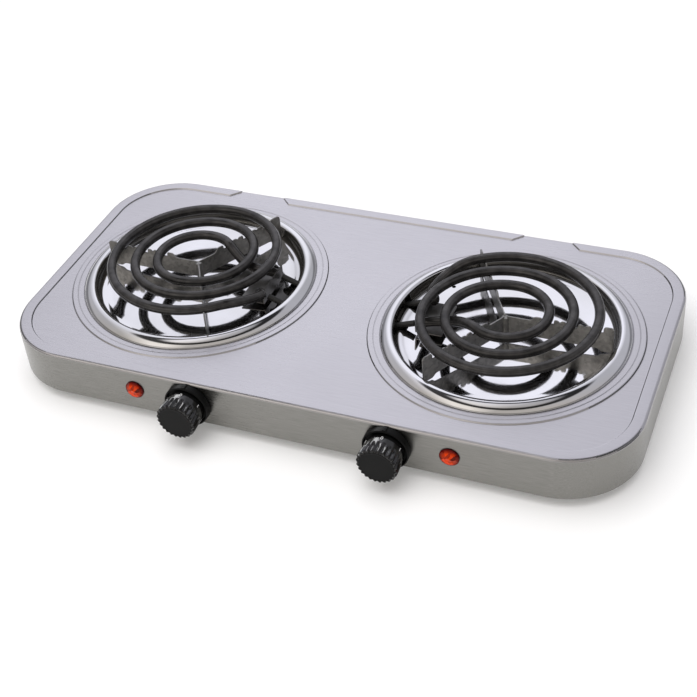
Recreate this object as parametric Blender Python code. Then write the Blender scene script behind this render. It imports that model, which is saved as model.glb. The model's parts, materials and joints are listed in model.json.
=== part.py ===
"""Twin-coil electric hot plate: a pressed steel housing on rubber feet, with two tilting coils.

The model is in metres, +Z up, +X to the right and -Y to the front, where the knobs are.
Dimensions below are in millimetres and are turned into metres as each mesh is made.
"""

import math

import bmesh
import bpy
from mathutils import Matrix, Vector

MM = 0.001
GAP = 0.3

# Housing
LENGTH = 500.0
DEPTH = 251.0
CORNER_R = 58.0
SHEET = 0.8
SKIRT_Z = 8.0
RIM_Z = 45.2
EDGE_R = 2.5
BAND = 9.5
FIELD_DROP = 1.0
REAR_GAP = 40.0
CORNER_STEPS = 9
FRONT_Y = -DEPTH / 2
REAR_Y = DEPTH / 2

# Burners
BURNER_X = 128.5
PLATEAU_R = 104.0
HOLE_R = 85.2
PAN_R = 95.3
PAN_WALL_R = 84.0
PAN_CREST_Z = 50.7
LEDGE_Z = 41.2
DISH_Z = 38.4
PAN_SHEET = 0.6

# Heating coils
TUBE_R = 3.9
TUBE_FLAT = 3.5
COIL_Z = 63.0
TURN_R = (69.5, 50.5, 32.5)
START_ANGLE = 330.0
END_ANGLE = -660.0
INNER_END_R = 29.5
COLD_END = (62.2, 13.8, 49.3)

# Spider that carries a coil
ARM_ANGLES = (60.0, 180.0, 300.0)
ARM_T = 1.0
ARM_TOP = COIL_Z - TUBE_R - GAP
ARM_BOTTOM = 44.0
ARM_REACH = 82.0
TAB_TOP = 62.6
END_TAB_TOP = 64.4

# Terminals and the pivot that a coil tilts on
PIN_Y = 13.8
PIN_R = 2.4
PIN_SLOPE = 0.38
PIN_X = (67.1, 93.0)
PIN_Z = 47.5
PIVOT_X = 95.0
PIVOT_Z = 36.5
PIVOT_R = 1.52
BLOCK_X = (88.5, 99.0)
BLOCK_Z = (32.5, 42.6)
BLOCK_HALF_Y = 19.5

# Controls on the front wall
KNOB_X = 79.0
KNOB_Z = 26.6
KNOB_REACH = 24.0
KNOB_R = 15.6
FLUTES = 20
RING_R = 17.8
SHAFT_R = 3.0
LAMP_X = 125.0
LAMP_Z = 27.8
LENS_R = 7.5
GLAND_REACH = 3.5

# Feet and base
FOOT_X = 183.0
FOOT_Y = 100.0
FOOT_R = 10.0
BASE_Z = 10.0
BASE_T = 0.8

# The knobs reach further forward than the gland reaches back: this centres the whole object
BODY_Y = (KNOB_REACH - GLAND_REACH) / 2


def clear_scene():
    for item in list(bpy.data.objects):
        bpy.data.objects.remove(item, do_unlink=True)


def material(name, colour, roughness, metallic=0.0):
    made = bpy.data.materials.new(name)
    made.use_nodes = True
    shader = made.node_tree.nodes["Principled BSDF"]
    shader.inputs["Base Color"].default_value = (*colour, 1.0)
    shader.inputs["Roughness"].default_value = roughness
    shader.inputs["Metallic"].default_value = metallic
    made.diffuse_color = (*colour, 1.0)
    return made


def solid(bm, name="tool"):
    """Turn a mesh in millimetres into an object in metres with its faces pointing out."""
    bmesh.ops.remove_doubles(bm, verts=bm.verts, dist=0.001)
    bmesh.ops.recalc_face_normals(bm, faces=bm.faces)
    bmesh.ops.scale(bm, vec=(MM, MM, MM), verts=bm.verts)
    mesh = bpy.data.meshes.new(name)
    bm.to_mesh(mesh)
    bm.free()
    item = bpy.data.objects.new(name, mesh)
    bpy.context.collection.objects.link(item)
    return item


def apply_modifier(item, modifier):
    bpy.context.view_layer.objects.active = item
    with bpy.context.temp_override(object=item, active_object=item):
        bpy.ops.object.modifier_apply(modifier=modifier.name)


def combine(target, tool, operation="DIFFERENCE"):
    modifier = target.modifiers.new("combine", "BOOLEAN")
    modifier.object = tool
    modifier.operation = operation
    modifier.solver = "EXACT"
    apply_modifier(target, modifier)
    bpy.data.objects.remove(tool, do_unlink=True)


def finish(item, name, surface, parent, origin=(0.0, 0.0, 0.0), angle=35.0):
    """Name a piece, give it its material, and hang it on its parent with its origin at a place."""
    shift = Vector(origin) * MM
    item.data.transform(Matrix.Translation(-shift))
    item.name = name
    item.data.name = name
    item.data.materials.clear()
    item.data.materials.append(surface)
    item.data.shade_smooth()
    item.data.set_sharp_from_angle(angle=math.radians(angle))
    item.parent = parent
    item.location = shift
    return item


def twin(item, name, parent):
    """A second copy of a piece on the other parent, sharing its mesh and its local place."""
    other = bpy.data.objects.new(name, item.data)
    bpy.context.collection.objects.link(other)
    other.parent = parent
    other.location = item.location
    return other


def empty(name, parent, place, turn=0.0):
    item = bpy.data.objects.new(name, None)
    item.empty_display_size = 0.02
    bpy.context.collection.objects.link(item)
    item.parent = parent
    item.location = Vector(place) * MM
    item.rotation_euler = (0.0, 0.0, math.radians(turn))
    return item


def circle(radius, count, centre=(0.0, 0.0), start=0.0):
    turns = [start + 2 * math.pi * step / count for step in range(count)]
    return [(centre[0] + radius * math.cos(t), centre[1] + radius * math.sin(t)) for t in turns]


def rounded_rect(half_x, half_y, radius, segments=CORNER_STEPS):
    points = []
    for corner, (sx, sy) in enumerate(((1, 1), (-1, 1), (-1, -1), (1, -1))):
        for step in range(segments + 1):
            turn = math.radians(90.0 * corner + 90.0 * step / segments)
            x = sx * (half_x - radius) + radius * math.cos(turn)
            y = sy * (half_y - radius) + radius * math.sin(turn)
            points.append((x, y))
    return points


def stack(loops):
    """Bridge loops of equal length from the first to the last and close both ends."""
    bm = bmesh.new()
    rings = [[bm.verts.new(point) for point in loop] for loop in loops]
    count = len(rings[0])
    for lower, upper in zip(rings, rings[1:]):
        for index in range(count):
            after = (index + 1) % count
            bm.faces.new((lower[index], lower[after], upper[after], upper[index]))
    bm.faces.new(reversed(rings[0]))
    bm.faces.new(rings[-1])
    return bm


def prism(outline, low, high):
    return stack([[(x, y, low) for x, y in outline], [(x, y, high) for x, y in outline]])


def box(x, y, z):
    bm = bmesh.new()
    made = bmesh.ops.create_cube(bm, size=1.0)
    size = (x[1] - x[0], y[1] - y[0], z[1] - z[0])
    centre = ((x[0] + x[1]) / 2, (y[0] + y[1]) / 2, (z[0] + z[1]) / 2)
    bmesh.ops.scale(bm, vec=size, verts=made["verts"])
    bmesh.ops.translate(bm, vec=centre, verts=made["verts"])
    return bm


def lathe(profile, count, closed=True):
    """Turn a profile of (radius, height) points about Z; a radius of 0 becomes a pole."""
    bm = bmesh.new()
    rings = []
    for radius, height in profile:
        if radius == 0.0:
            rings.append([bm.verts.new((0.0, 0.0, height))])
        else:
            rings.append([bm.verts.new((x, y, height)) for x, y in circle(radius, count)])
    pairs = list(zip(rings, rings[1:]))
    if closed:
        pairs.append((rings[-1], rings[0]))
    for one, two in pairs:
        for index in range(count):
            after = (index + 1) % count
            if len(one) == 1:
                bm.faces.new((one[0], two[after], two[index]))
            elif len(two) == 1:
                bm.faces.new((one[index], one[after], two[0]))
            else:
                bm.faces.new((one[index], one[after], two[after], two[index]))
    return bm


def cylinder(radius, low, high, count=24, centre=(0.0, 0.0)):
    return prism(circle(radius, count, centre), low, high)


def aim(bm, direction, place=(0.0, 0.0, 0.0)):
    """Turn a mesh made along +Z to point another way, then move it."""
    turn = Vector((0.0, 0.0, 1.0)).rotation_difference(Vector(direction)).to_matrix()
    bmesh.ops.rotate(bm, cent=(0.0, 0.0, 0.0), matrix=turn, verts=bm.verts)
    bmesh.ops.translate(bm, vec=place, verts=bm.verts)
    return bm


def face_front(bm, place):
    """Turn a mesh made along +Z so that it points to the front, with its own Y kept upright."""
    turn = Matrix.Rotation(math.radians(90.0), 3, "X")
    bmesh.ops.rotate(bm, cent=(0.0, 0.0, 0.0), matrix=turn, verts=bm.verts)
    bmesh.ops.translate(bm, vec=place, verts=bm.verts)
    return bm


def sweep(path, section):
    """Carry a cross-section of (side, up) points along a path that is never vertical."""
    loops = []
    last = len(path) - 1
    for index, point in enumerate(path):
        ahead = (path[min(index + 1, last)] - path[max(index - 1, 0)]).normalized()
        side = ahead.cross(Vector((0.0, 0.0, 1.0))).normalized()
        up = side.cross(ahead)
        loops.append([tuple(point + side * s + up * u) for s, u in section])
    return stack(loops)


def hermite(start, leave, end, arrive, steps):
    points = []
    for step in range(1, steps + 1):
        t = step / steps
        a = 2 * t ** 3 - 3 * t ** 2 + 1
        b = t ** 3 - 2 * t ** 2 + t
        c = -2 * t ** 3 + 3 * t ** 2
        d = t ** 3 - t ** 2
        points.append(start * a + leave * b + end * c + arrive * d)
    return points


# Housing, base and feet

def field_outline(inset):
    """The sunken field's outline, which runs out to the rear edge behind each burner."""
    points = rounded_rect(LENGTH / 2 - inset, DEPTH / 2 - inset, CORNER_R - inset)
    spread = BAND - inset
    edge = DEPTH / 2 - inset
    half = REAR_GAP / 2
    out = []
    for index, point in enumerate(points):
        out.append(point)
        if index == CORNER_STEPS:
            for centre in (BURNER_X, -BURNER_X):
                wide = half + BAND + spread
                out.append((centre + wide, edge))
                out.append((centre + half + spread - 1.0, DEPTH / 2 + 1.0))
                out.append((centre - half - spread + 1.0, DEPTH / 2 + 1.0))
                out.append((centre - wide, edge))
    return out


def shell_form(inset, top, field_z, field_inset, plateau_r, low):
    """A pressed form without thickness: the tool for the outside or the inside of the housing."""
    radius = EDGE_R - inset
    loops = []
    for add, z in ((0.0, low), (0.0, top - radius)):
        outline = rounded_rect(LENGTH / 2 - inset, DEPTH / 2 - inset, CORNER_R - inset)
        loops.append([(x, y, z) for x, y in outline])
    for step in (1, 2, 3):
        turn = math.radians(30.0 * step)
        draw = inset + radius * (1 - math.cos(turn))
        outline = rounded_rect(LENGTH / 2 - draw, DEPTH / 2 - draw, CORNER_R - draw)
        z = top - radius + radius * math.sin(turn)
        loops.append([(x, y, z) for x, y in outline])
    form = solid(stack(loops), "form")
    field = solid(prism(field_outline(field_inset), field_z, top + 2.0), "field")
    for side in (-1, 1):
        disc = cylinder(plateau_r, field_z - 1.0, top + 3.0, 40, (side * BURNER_X, 0.0))
        combine(field, solid(disc))
    combine(form, field)
    return form


def top_housing(surface, root):
    outer = shell_form(0.0, RIM_Z, RIM_Z - FIELD_DROP, BAND, PLATEAU_R, SKIRT_Z)
    inner_z = RIM_Z - SHEET
    inner = shell_form(SHEET, inner_z, inner_z - FIELD_DROP, BAND - SHEET, PLATEAU_R - SHEET, 6.0)
    combine(outer, inner)
    for side in (-1, 1):
        combine(outer, solid(cylinder(HOLE_R, 38.0, 50.0, 40, (side * BURNER_X, 0.0))))
        near = side * (BURNER_X - 80.0)
        far = side * (BURNER_X - 90.0)
        combine(outer, solid(box((min(near, far), max(near, far)), (-21.0, 21.0), (38.0, 50.0))))
        shaft_hole = face_front(cylinder(5.0, -4.0, 4.0, 16), (side * KNOB_X, FRONT_Y, KNOB_Z))
        combine(outer, solid(shaft_hole))
        lamp_hole = face_front(cylinder(6.5, -4.0, 4.0, 20), (side * LAMP_X, FRONT_Y, LAMP_Z))
        combine(outer, solid(lamp_hole))
    gland_hole = face_front(cylinder(6.3, -4.0, 4.0, 20), (0.0, REAR_Y, KNOB_Z))
    combine(outer, solid(gland_hole))
    return finish(outer, "top_housing", surface, root)


def slot_outline(length, width, centre, turn):
    """A slot with round ends, turned by an angle about its centre."""
    points = []
    for end, start in ((1, -90.0), (-1, 90.0)):
        for step in range(5):
            angle = math.radians(start + 45.0 * step)
            x = end * (length - width) / 2 + width / 2 * math.cos(angle)
            y = width / 2 * math.sin(angle)
            points.append((x, y))
    spin = Matrix.Rotation(math.radians(turn), 2)
    placed = []
    for x, y in points:
        moved = spin @ Vector((x, y))
        placed.append((centre[0] + moved.x, centre[1] + moved.y))
    return placed


def base_plate(surface, root):
    inset = SHEET + GAP
    outline = rounded_rect(LENGTH / 2 - inset, DEPTH / 2 - inset, CORNER_R - inset)
    plate = solid(prism(outline, BASE_Z, BASE_Z + BASE_T))
    for side in (-1, 1):
        for step in range(5):
            centre = (side * BURNER_X + 22.0 * (step - 2), 0.0)
            outline = slot_outline(70.0, 6.0, centre, 90.0)
            combine(plate, solid(prism(outline, BASE_Z - 2.0, BASE_Z + 3.0)))
        for end in (-1, 1):
            hole = cylinder(2.3, BASE_Z - 2.0, BASE_Z + 3.0, 12, (side * FOOT_X, end * FOOT_Y))
            combine(plate, solid(hole))
    combine(plate, solid(cylinder(2.3, BASE_Z - 2.0, BASE_Z + 3.0, 12, (22.0, 96.0))))
    return finish(plate, "base_plate", surface, root)


def foot(surface, parent):
    top = BASE_Z - GAP
    profile = ((5.2, 0.0), (8.6, 0.0), (9.2, 0.6), (FOOT_R, top), (2.3, top), (2.3, 4.8), (5.2, 4.8))
    return finish(solid(lathe(profile, 14)), "foot", surface, parent)


def foot_screw(surface, parent):
    profile = ((0.0, 2.2), (3.2, 2.2), (4.2, 3.2), (4.2, 4.5), (2.0, 4.5), (2.0, 17.0), (0.0, 17.0))
    return finish(solid(lathe(profile, 10, False)), "foot_screw", surface, parent)


def foot_nut(surface, parent):
    low = BASE_Z + BASE_T + 2 * GAP + 1.0
    nut = solid(cylinder(4.0, low, low + 3.0, 6))
    combine(nut, solid(cylinder(2.3, low - 1.0, low + 4.0, 10)))
    return finish(nut, "foot_nut", surface, parent)


def corner_bracket(surface, parent, wall):
    """An L of sheet that ties the base plate to the skirt; wall is -1 at the front, 1 at the rear."""
    low = BASE_Z + BASE_T + GAP
    outer = wall * (DEPTH / 2 - SHEET - GAP - FOOT_Y)
    inner = outer - wall * 1.0
    tip = -wall * 9.0
    outline = [(outer, low), (outer, 26.0), (inner, 26.0), (inner, low + 1.0)]
    outline += [(tip, low + 1.0), (tip, low)]
    loops = [[(x, y, z) for y, z in outline] for x in (-8.0, 8.0)]
    bracket = solid(stack(loops))
    combine(bracket, solid(cylinder(2.3, low - 2.0, low + 3.0, 12)))
    return finish(bracket, "corner_bracket", surface, parent)


def feet(surfaces, root):
    corners = {
        "front_left": (-1, -1),
        "front_right": (1, -1),
        "rear_left": (-1, 1),
        "rear_right": (1, 1),
    }
    first = None
    for corner, (sx, sy) in corners.items():
        place = empty("at_foot_" + corner, root, (sx * FOOT_X, sy * FOOT_Y, 0.0))
        bracket = corner_bracket(surfaces["galvanised"], place, sy)
        bracket.name = "corner_bracket_" + corner
        if first is None:
            pieces = (foot(surfaces["rubber"], place),)
            pieces += (foot_screw(surfaces["zinc"], place), foot_nut(surfaces["zinc"], place))
            first = {piece.name: piece for piece in pieces}
            for kind, piece in first.items():
                piece.name = kind + "_" + corner
        else:
            for kind, piece in first.items():
                twin(piece, kind + "_" + corner, place)


# Burners: every shape is made about the burner's centre, with its terminals towards +X

def drip_pan(surface, parent):
    middle = (PAN_WALL_R + PAN_R) / 2
    profile = [(PAN_R, RIM_Z + GAP), (PAN_R - 0.5, 47.4), (PAN_R - 1.9, 49.2)]
    profile += [(middle + 1.7, 50.4), (middle - 0.6, PAN_CREST_Z), (middle - 2.9, 50.1)]
    profile += [(PAN_WALL_R + 0.9, 48.4), (PAN_WALL_R, 46.4), (PAN_WALL_R, LEDGE_Z + 1.2)]
    profile += [(PAN_WALL_R - 1.0, LEDGE_Z), (79.0, LEDGE_Z - 0.1), (76.0, LEDGE_Z - 0.8)]
    profile += [(55.0, LEDGE_Z - 1.9), (28.0, DISH_Z + 0.2), (0.0, DISH_Z)]
    bm = lathe(profile, 36, False)
    pan = solid(bm)
    if pan.data.polygons[len(pan.data.polygons) - 1].normal.z < 0:
        pan.data.flip_normals()
    wall = pan.modifiers.new("wall", "SOLIDIFY")
    wall.thickness = PAN_SHEET * MM
    wall.offset = -1.0
    wall.use_even_offset = True
    apply_modifier(pan, wall)
    for side in (-1, 1):
        y = (side * PIN_Y - 3.8, side * PIN_Y + 3.8)
        combine(pan, solid(box((73.5, 85.3), y, (36.0, 49.0))))
    for x, y in ((16.0, -11.0), (-13.0, 15.0), (56.0, -47.0)):
        combine(pan, solid(cylinder(1.6, 34.0, 45.0, 8, (x, y))))
    return finish(pan, "drip_pan", surface, parent)


def turn_radius(angle):
    """Radius of the coil's centreline at an angle that falls from START_ANGLE to END_ANGLE."""
    for turn in (0, 1):
        begin = 90.0 - 360.0 * turn
        if angle > begin:
            return TURN_R[turn]
        if angle > begin - 180.0:
            t = (begin - angle) / 180.0
            ease = t * t * (3 - 2 * t)
            return TURN_R[turn] + (TURN_R[turn + 1] - TURN_R[turn]) * ease
    t = max(0.0, (-540.0 - angle) / 120.0)
    return TURN_R[2] + (INNER_END_R - TURN_R[2]) * t * t


def coil_point(angle):
    radius = turn_radius(angle)
    turn = math.radians(angle)
    return Vector((radius * math.cos(turn), radius * math.sin(turn), COIL_Z))


def coil_path(step=12.0):
    """From the outer cold end round three turns to the inner cold end, which dives under them."""
    count = round((START_ANGLE - END_ANGLE) / step)
    angles = [START_ANGLE - (START_ANGLE - END_ANGLE) * k / count for k in range(count + 1)]
    turns = [coil_point(angle) for angle in angles]
    x, y, z = COLD_END
    away = Vector((1.0, 0.0, -PIN_SLOPE)).normalized()
    start = turns[0]
    back = (turns[0] - turns[1]).normalized()
    outer = hermite(start, back * 30.0, Vector((x, -y, z)), away * 26.0, 8)
    last = turns[-1]
    ahead = (turns[-1] - turns[-2]).normalized()
    dip = Vector((38.5, 12.0, 54.6))
    through = Vector((22.0, -3.5, -7.5))
    inner = hermite(last, ahead * 22.0, dip, through, 6)
    inner += hermite(dip, through, Vector((x, y, z)), away * 20.0, 6)
    return list(reversed(outer)) + turns + inner


def coil(surface, parent, origin):
    section = []
    for step in range(8):
        turn = math.radians(22.5 + 45.0 * step)
        up = min(TUBE_R * math.sin(turn), TUBE_FLAT)
        section.append((TUBE_R * math.cos(turn), up))
    return finish(solid(sweep(coil_path(), section)), "coil", surface, parent, origin, 60.0)


def arm_outline(angle):
    """Side view of one arm in (radius, height), with tabs standing up between the turns."""
    radii = sorted(turn_radius(angle - 360.0 * turn) for turn in range(3))
    half = TUBE_R + 0.7
    shape = [(1.6, ARM_BOTTOM), (70.0, ARM_BOTTOM), (73.0, LEDGE_Z + GAP)]
    shape += [(ARM_REACH, LEDGE_Z + GAP), (ARM_REACH, END_TAB_TOP - 2.5)]
    shape += [(ARM_REACH - 1.6, END_TAB_TOP), (ARM_REACH - 4.4, END_TAB_TOP)]
    shape += [(radii[2] + half, END_TAB_TOP - 2.0), (radii[2] + half, ARM_TOP)]
    for outer, inner in ((radii[2], radii[1]), (radii[1], radii[0])):
        shape += [(outer - half, ARM_TOP), (outer - half, TAB_TOP)]
        shape += [(inner + half, TAB_TOP), (inner + half, ARM_TOP)]
    shape += [(radii[0] - half, ARM_TOP), (radii[0] - half, TAB_TOP)]
    shape += [(radii[0] - half - 6.0, TAB_TOP), (radii[0] - half - 8.5, ARM_TOP), (1.6, ARM_TOP)]
    return shape


def spider(surface, parent, origin):
    hub = solid(cylinder(2.7, ARM_BOTTOM - 1.0, ARM_TOP - 1.0, 6))
    for angle in ARM_ANGLES:
        loops = [[(r, t, z) for r, z in arm_outline(angle)] for t in (-ARM_T / 2, ARM_T / 2)]
        bm = stack(loops)
        turn = Matrix.Rotation(math.radians(angle), 3, "Z")
        bmesh.ops.rotate(bm, cent=(0.0, 0.0, 0.0), matrix=turn, verts=bm.verts)
        combine(hub, solid(bm), "UNION")
    return finish(hub, "spider", surface, parent, origin)


def terminal_plate(surface, parent, origin):
    """A sheet yoke behind both cold ends, with a tail towards the hub."""
    x = COLD_END[0] + 2.2
    outline = [(x, 43.2), (x + 1.0, 43.2), (x + 1.0, 54.4), (x, 54.4), (x, 44.2)]
    outline += [(x - 20.0, 44.2), (x - 20.0, 43.2)]
    loops = [[(a, y, z) for a, z in outline] for y in (-19.0, 19.0)]
    plate = solid(stack(loops))
    return finish(plate, "terminal_plate", surface, parent, origin)


def terminal_pin(surface, parent, origin, side):
    """An insulated terminal that slopes down through the pan's wall into its block."""
    length = (PIN_X[1] - PIN_X[0]) * math.hypot(1.0, PIN_SLOPE)
    profile = ((0.0, 0.0), (PIN_R, 0.0), (PIN_R, length * 0.8), (PIN_R - 0.5, length * 0.82))
    profile += ((PIN_R - 0.5, length), (0.0, length))
    start = (PIN_X[0], side * PIN_Y, PIN_Z)
    bm = aim(lathe(profile, 12, False), (1.0, 0.0, -PIN_SLOPE), start)
    return finish(solid(bm), "terminal_pin", surface, parent, origin)


def terminal_block(surface, parent, origin):
    """The ceramic socket that holds both pins and turns on the pivot pin."""
    block = solid(box(BLOCK_X, (-BLOCK_HALF_Y, BLOCK_HALF_Y), BLOCK_Z))
    edges = block.modifiers.new("edges", "BEVEL")
    edges.width = 0.8 * MM
    edges.segments = 1
    apply_modifier(block, edges)
    for side in (-1, 1):
        start = (PIN_X[0], side * PIN_Y, PIN_Z)
        reach = (PIN_X[1] - PIN_X[0] + 0.6) * math.hypot(1.0, PIN_SLOPE)
        bore = aim(cylinder(PIN_R + GAP, 10.0, reach, 12), (1.0, 0.0, -PIN_SLOPE), start)
        combine(block, solid(bore))
    hole = face_front(cylinder(1.6, -30.0, 30.0, 24), (PIVOT_X, 0.0, PIVOT_Z))
    combine(block, solid(hole))
    return finish(block, "terminal_block", surface, parent, origin)


def pivot_bracket(surface, parent):
    """A channel under the top sheet, open towards the pan, whose cheeks hold the pivot pin."""
    top = RIM_Z - FIELD_DROP - SHEET - GAP
    near, far, half = 91.5, 102.6, BLOCK_HALF_Y + 0.6
    outline = [(near, -half), (far - 1.0, -half), (far - 1.0, half), (near, half)]
    outline += [(near, half + 1.0), (far, half + 1.0), (far, -half - 1.0), (near, -half - 1.0)]
    bracket = solid(prism(outline, 32.0, top))
    for side in (-1, 1):
        y = sorted((side * (half + 0.5), side * (half + 8.0)))
        combine(bracket, solid(box((near + 0.5, far - 0.5), y, (top - 1.0, top - 0.1))), "UNION")
    hole = face_front(cylinder(PIVOT_R + GAP, -30.0, 30.0, 12), (PIVOT_X, 0.0, PIVOT_Z))
    combine(bracket, solid(hole))
    return finish(bracket, "pivot_bracket", surface, parent)


def pivot_pin(surface, parent):
    half = BLOCK_HALF_Y + 0.6 + 1.0
    profile = ((0.0, -half - 1.8), (2.6, -half - 1.8), (2.6, -half - 0.3), (PIVOT_R, -half - 0.3))
    profile += ((PIVOT_R, half + 1.5), (0.0, half + 1.5))
    bm = face_front(lathe(profile, 24, False), (PIVOT_X, 0.0, PIVOT_Z))
    return finish(solid(bm), "pivot_pin", surface, parent)


def burners(surfaces, root):
    pivot = (PIVOT_X, 0.0, PIVOT_Z)
    left = empty("burner_left", root, (-BURNER_X, 0.0, 0.0))
    right = empty("burner_right", root, (BURNER_X, 0.0, 0.0), 180.0)
    left_tilt = empty("coil_tilt_left", left, pivot)
    right_tilt = empty("coil_tilt_right", right, pivot)
    still = [
        drip_pan(surfaces["chrome"], left),
        pivot_bracket(surfaces["galvanised"], left),
        pivot_pin(surfaces["zinc"], left),
    ]
    swing = [
        coil(surfaces["sheath"], left, pivot),
        spider(surfaces["galvanised"], left, pivot),
        terminal_plate(surfaces["galvanised"], left, pivot),
        terminal_block(surfaces["ceramic"], left, pivot),
    ]
    for side, letter in ((-1, "a"), (1, "b")):
        pin = terminal_pin(surfaces["sleeve"], left, pivot, side)
        pin.name = "terminal_pin_" + letter
        swing.append(pin)
    for piece in still:
        twin(piece, piece.name + "_right", right)
        piece.name += "_left"
    for piece in swing:
        piece.parent = left_tilt
        piece.location = (0.0, 0.0, 0.0)
        twin(piece, piece.name + "_right", right_tilt)
        piece.name += "_left"


# Controls: every shape is made about the knob's or the lamp's axis, at the front wall's face

def knob_outline(radius, depth):
    """A fluted circle: a ridge and a hollow for each flute."""
    points = []
    for step in range(2 * FLUTES):
        r = radius - depth * (step % 2)
        turn = math.pi * step / FLUTES
        points.append((r * math.cos(turn), r * math.sin(turn)))
    return points


def knob(surface, parent):
    stations = ((13.6, 0.0, 3.2), (14.8, 0.0, 6.5), (15.1, 0.0, 12.0), (15.3, 1.2, 15.0))
    stations += ((KNOB_R, 1.4, KNOB_REACH - 1.2), (KNOB_R - 1.0, 1.1, KNOB_REACH))
    loops = [[(x, y, z) for x, y in knob_outline(r, deep)] for r, deep, z in stations]
    body = solid(face_front(stack(loops), (0.0, 0.0, 0.0)))
    bore = prism(shaft_outline(SHAFT_R + GAP, True), 1.0, KNOB_REACH - 4.0)
    combine(body, solid(face_front(bore, (0.0, 0.0, 0.0))))
    return finish(body, "knob", surface, parent, (0.0, 0.0, 0.0), 40.0)


def shaft_outline(radius, flat):
    """A circle, or the same number of points with the top cut flat for the D of the shaft."""
    limit = 0.55 * SHAFT_R + (radius - SHAFT_R)
    points = circle(radius, 24)
    if flat:
        points = [(x, min(y, limit)) for x, y in points]
    return points


def control_shaft(surface, parent):
    front = KNOB_REACH - 4.0 - GAP
    loops = []
    for z, flat in ((-20.0, False), (2.4, False), (2.7, True), (front, True)):
        loops.append([(x, y, z) for x, y in shaft_outline(SHAFT_R, flat)])
    return finish(solid(face_front(stack(loops), (0.0, 0.0, 0.0))), "control_shaft", surface, parent)


def knob_ring(surface, parent):
    """The fixed cup behind the knob, with its pointer at the top."""
    profile = ((4.0, GAP), (RING_R, GAP), (RING_R, 5.2), (RING_R - 0.8, 6.2), (16.6, 6.2))
    profile += ((16.3, 2.6), (4.0, 2.6))
    ring = solid(face_front(lathe(profile, 30), (0.0, 0.0, 0.0)))
    nub = box((-1.4, 1.4), (RING_R - 1.6, RING_R + 0.8), (GAP + 0.5, 6.0))
    combine(ring, solid(face_front(nub, (0.0, 0.0, 0.0))), "UNION")
    return finish(ring, "knob_ring", surface, parent)


def thermostat_plate(surface, parent):
    """The mounting plate behind the wall, with the bush that the shaft turns in."""
    inside = -SHEET - GAP
    plate = solid(face_front(box((-17.0, 17.0), (-14.0, 14.0), (inside - 1.0, inside)), (0, 0, 0)))
    bush = face_front(cylinder(5.4, inside - 7.0, inside - 0.5, 14), (0.0, 0.0, 0.0))
    combine(plate, solid(bush), "UNION")
    hole = face_front(cylinder(SHAFT_R + 0.1, -20.0, 2.0, 24), (0.0, 0.0, 0.0))
    combine(plate, solid(hole))
    return finish(plate, "thermostat_plate", surface, parent)


def thermostat_body(surface, parent):
    """The ceramic switch stack around the end of the shaft."""
    front = -SHEET - GAP - 7.0 - GAP
    body = solid(face_front(box((-13.0, 13.0), (-11.0, 11.0), (front - 15.0, front)), (0, 0, 0)))
    edges = body.modifiers.new("edges", "BEVEL")
    edges.width = 1.2 * MM
    edges.segments = 1
    apply_modifier(body, edges)
    hole = face_front(cylinder(SHAFT_R + 0.5, -21.0, 2.0, 16), (0.0, 0.0, 0.0))
    combine(body, solid(hole))
    return finish(body, "thermostat_body", surface, parent)


def lamp_lens(surface, parent):
    """A domed lens on a hollow barrel that goes through the wall."""
    profile = ((0.0, 3.6), (3.6, 3.1), (6.0, 2.0), (LENS_R, 0.9), (LENS_R, GAP), (6.1, GAP))
    profile += ((6.1, -13.0), (4.8, -13.0), (4.8, 0.6), (0.0, 1.2))
    return finish(solid(face_front(lathe(profile, 16, False), (0, 0, 0))), "lamp_lens", surface, parent)


def lamp_clip(surface, parent):
    """The spring collar that holds the lens from inside."""
    inside = -SHEET - GAP
    profile = ((6.4, inside), (9.2, inside), (9.2, inside - 0.8), (7.4, inside - 2.6))
    profile += ((6.4, inside - 2.6),)
    return finish(solid(face_front(lathe(profile, 12), (0, 0, 0))), "lamp_clip", surface, parent)


def controls(surfaces, root):
    pairs = []
    for side, word in ((-1, "left"), (1, "right")):
        axis = empty("knob_axis_" + word, root, (side * KNOB_X, FRONT_Y, KNOB_Z))
        lamp = empty("lamp_axis_" + word, root, (side * LAMP_X, FRONT_Y, LAMP_Z))
        pairs.append((axis, lamp))
    axis, lamp = pairs[0]
    on_axis = [
        knob(surfaces["knob"], axis),
        control_shaft(surfaces["zinc"], axis),
        knob_ring(surfaces["knob"], axis),
        thermostat_plate(surfaces["galvanised"], axis),
        thermostat_body(surfaces["ceramic"], axis),
    ]
    on_lamp = [lamp_lens(surfaces["lens"], lamp), lamp_clip(surfaces["zinc"], lamp)]
    for piece in on_axis:
        twin(piece, piece.name + "_right", pairs[1][0])
        piece.name += "_left"
    for piece in on_lamp:
        twin(piece, piece.name + "_right", pairs[1][1])
        piece.name += "_left"


# Mains side: the inlet gland, the clamp and strip inside, and the wires

def cord_gland(surface, root):
    """The grommet in the rear wall that the mains cord would come through."""
    profile = ((3.6, -GLAND_REACH), (7.4, -GLAND_REACH), (9.0, -2.0), (9.0, -GAP), (6.0, -GAP))
    profile += ((6.0, SHEET + GAP), (8.2, SHEET + GAP), (8.2, 4.5), (3.6, 4.5))
    bm = face_front(lathe(profile, 16), (0.0, REAR_Y, KNOB_Z))
    return finish(solid(bm), "cord_gland", surface, root)


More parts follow.
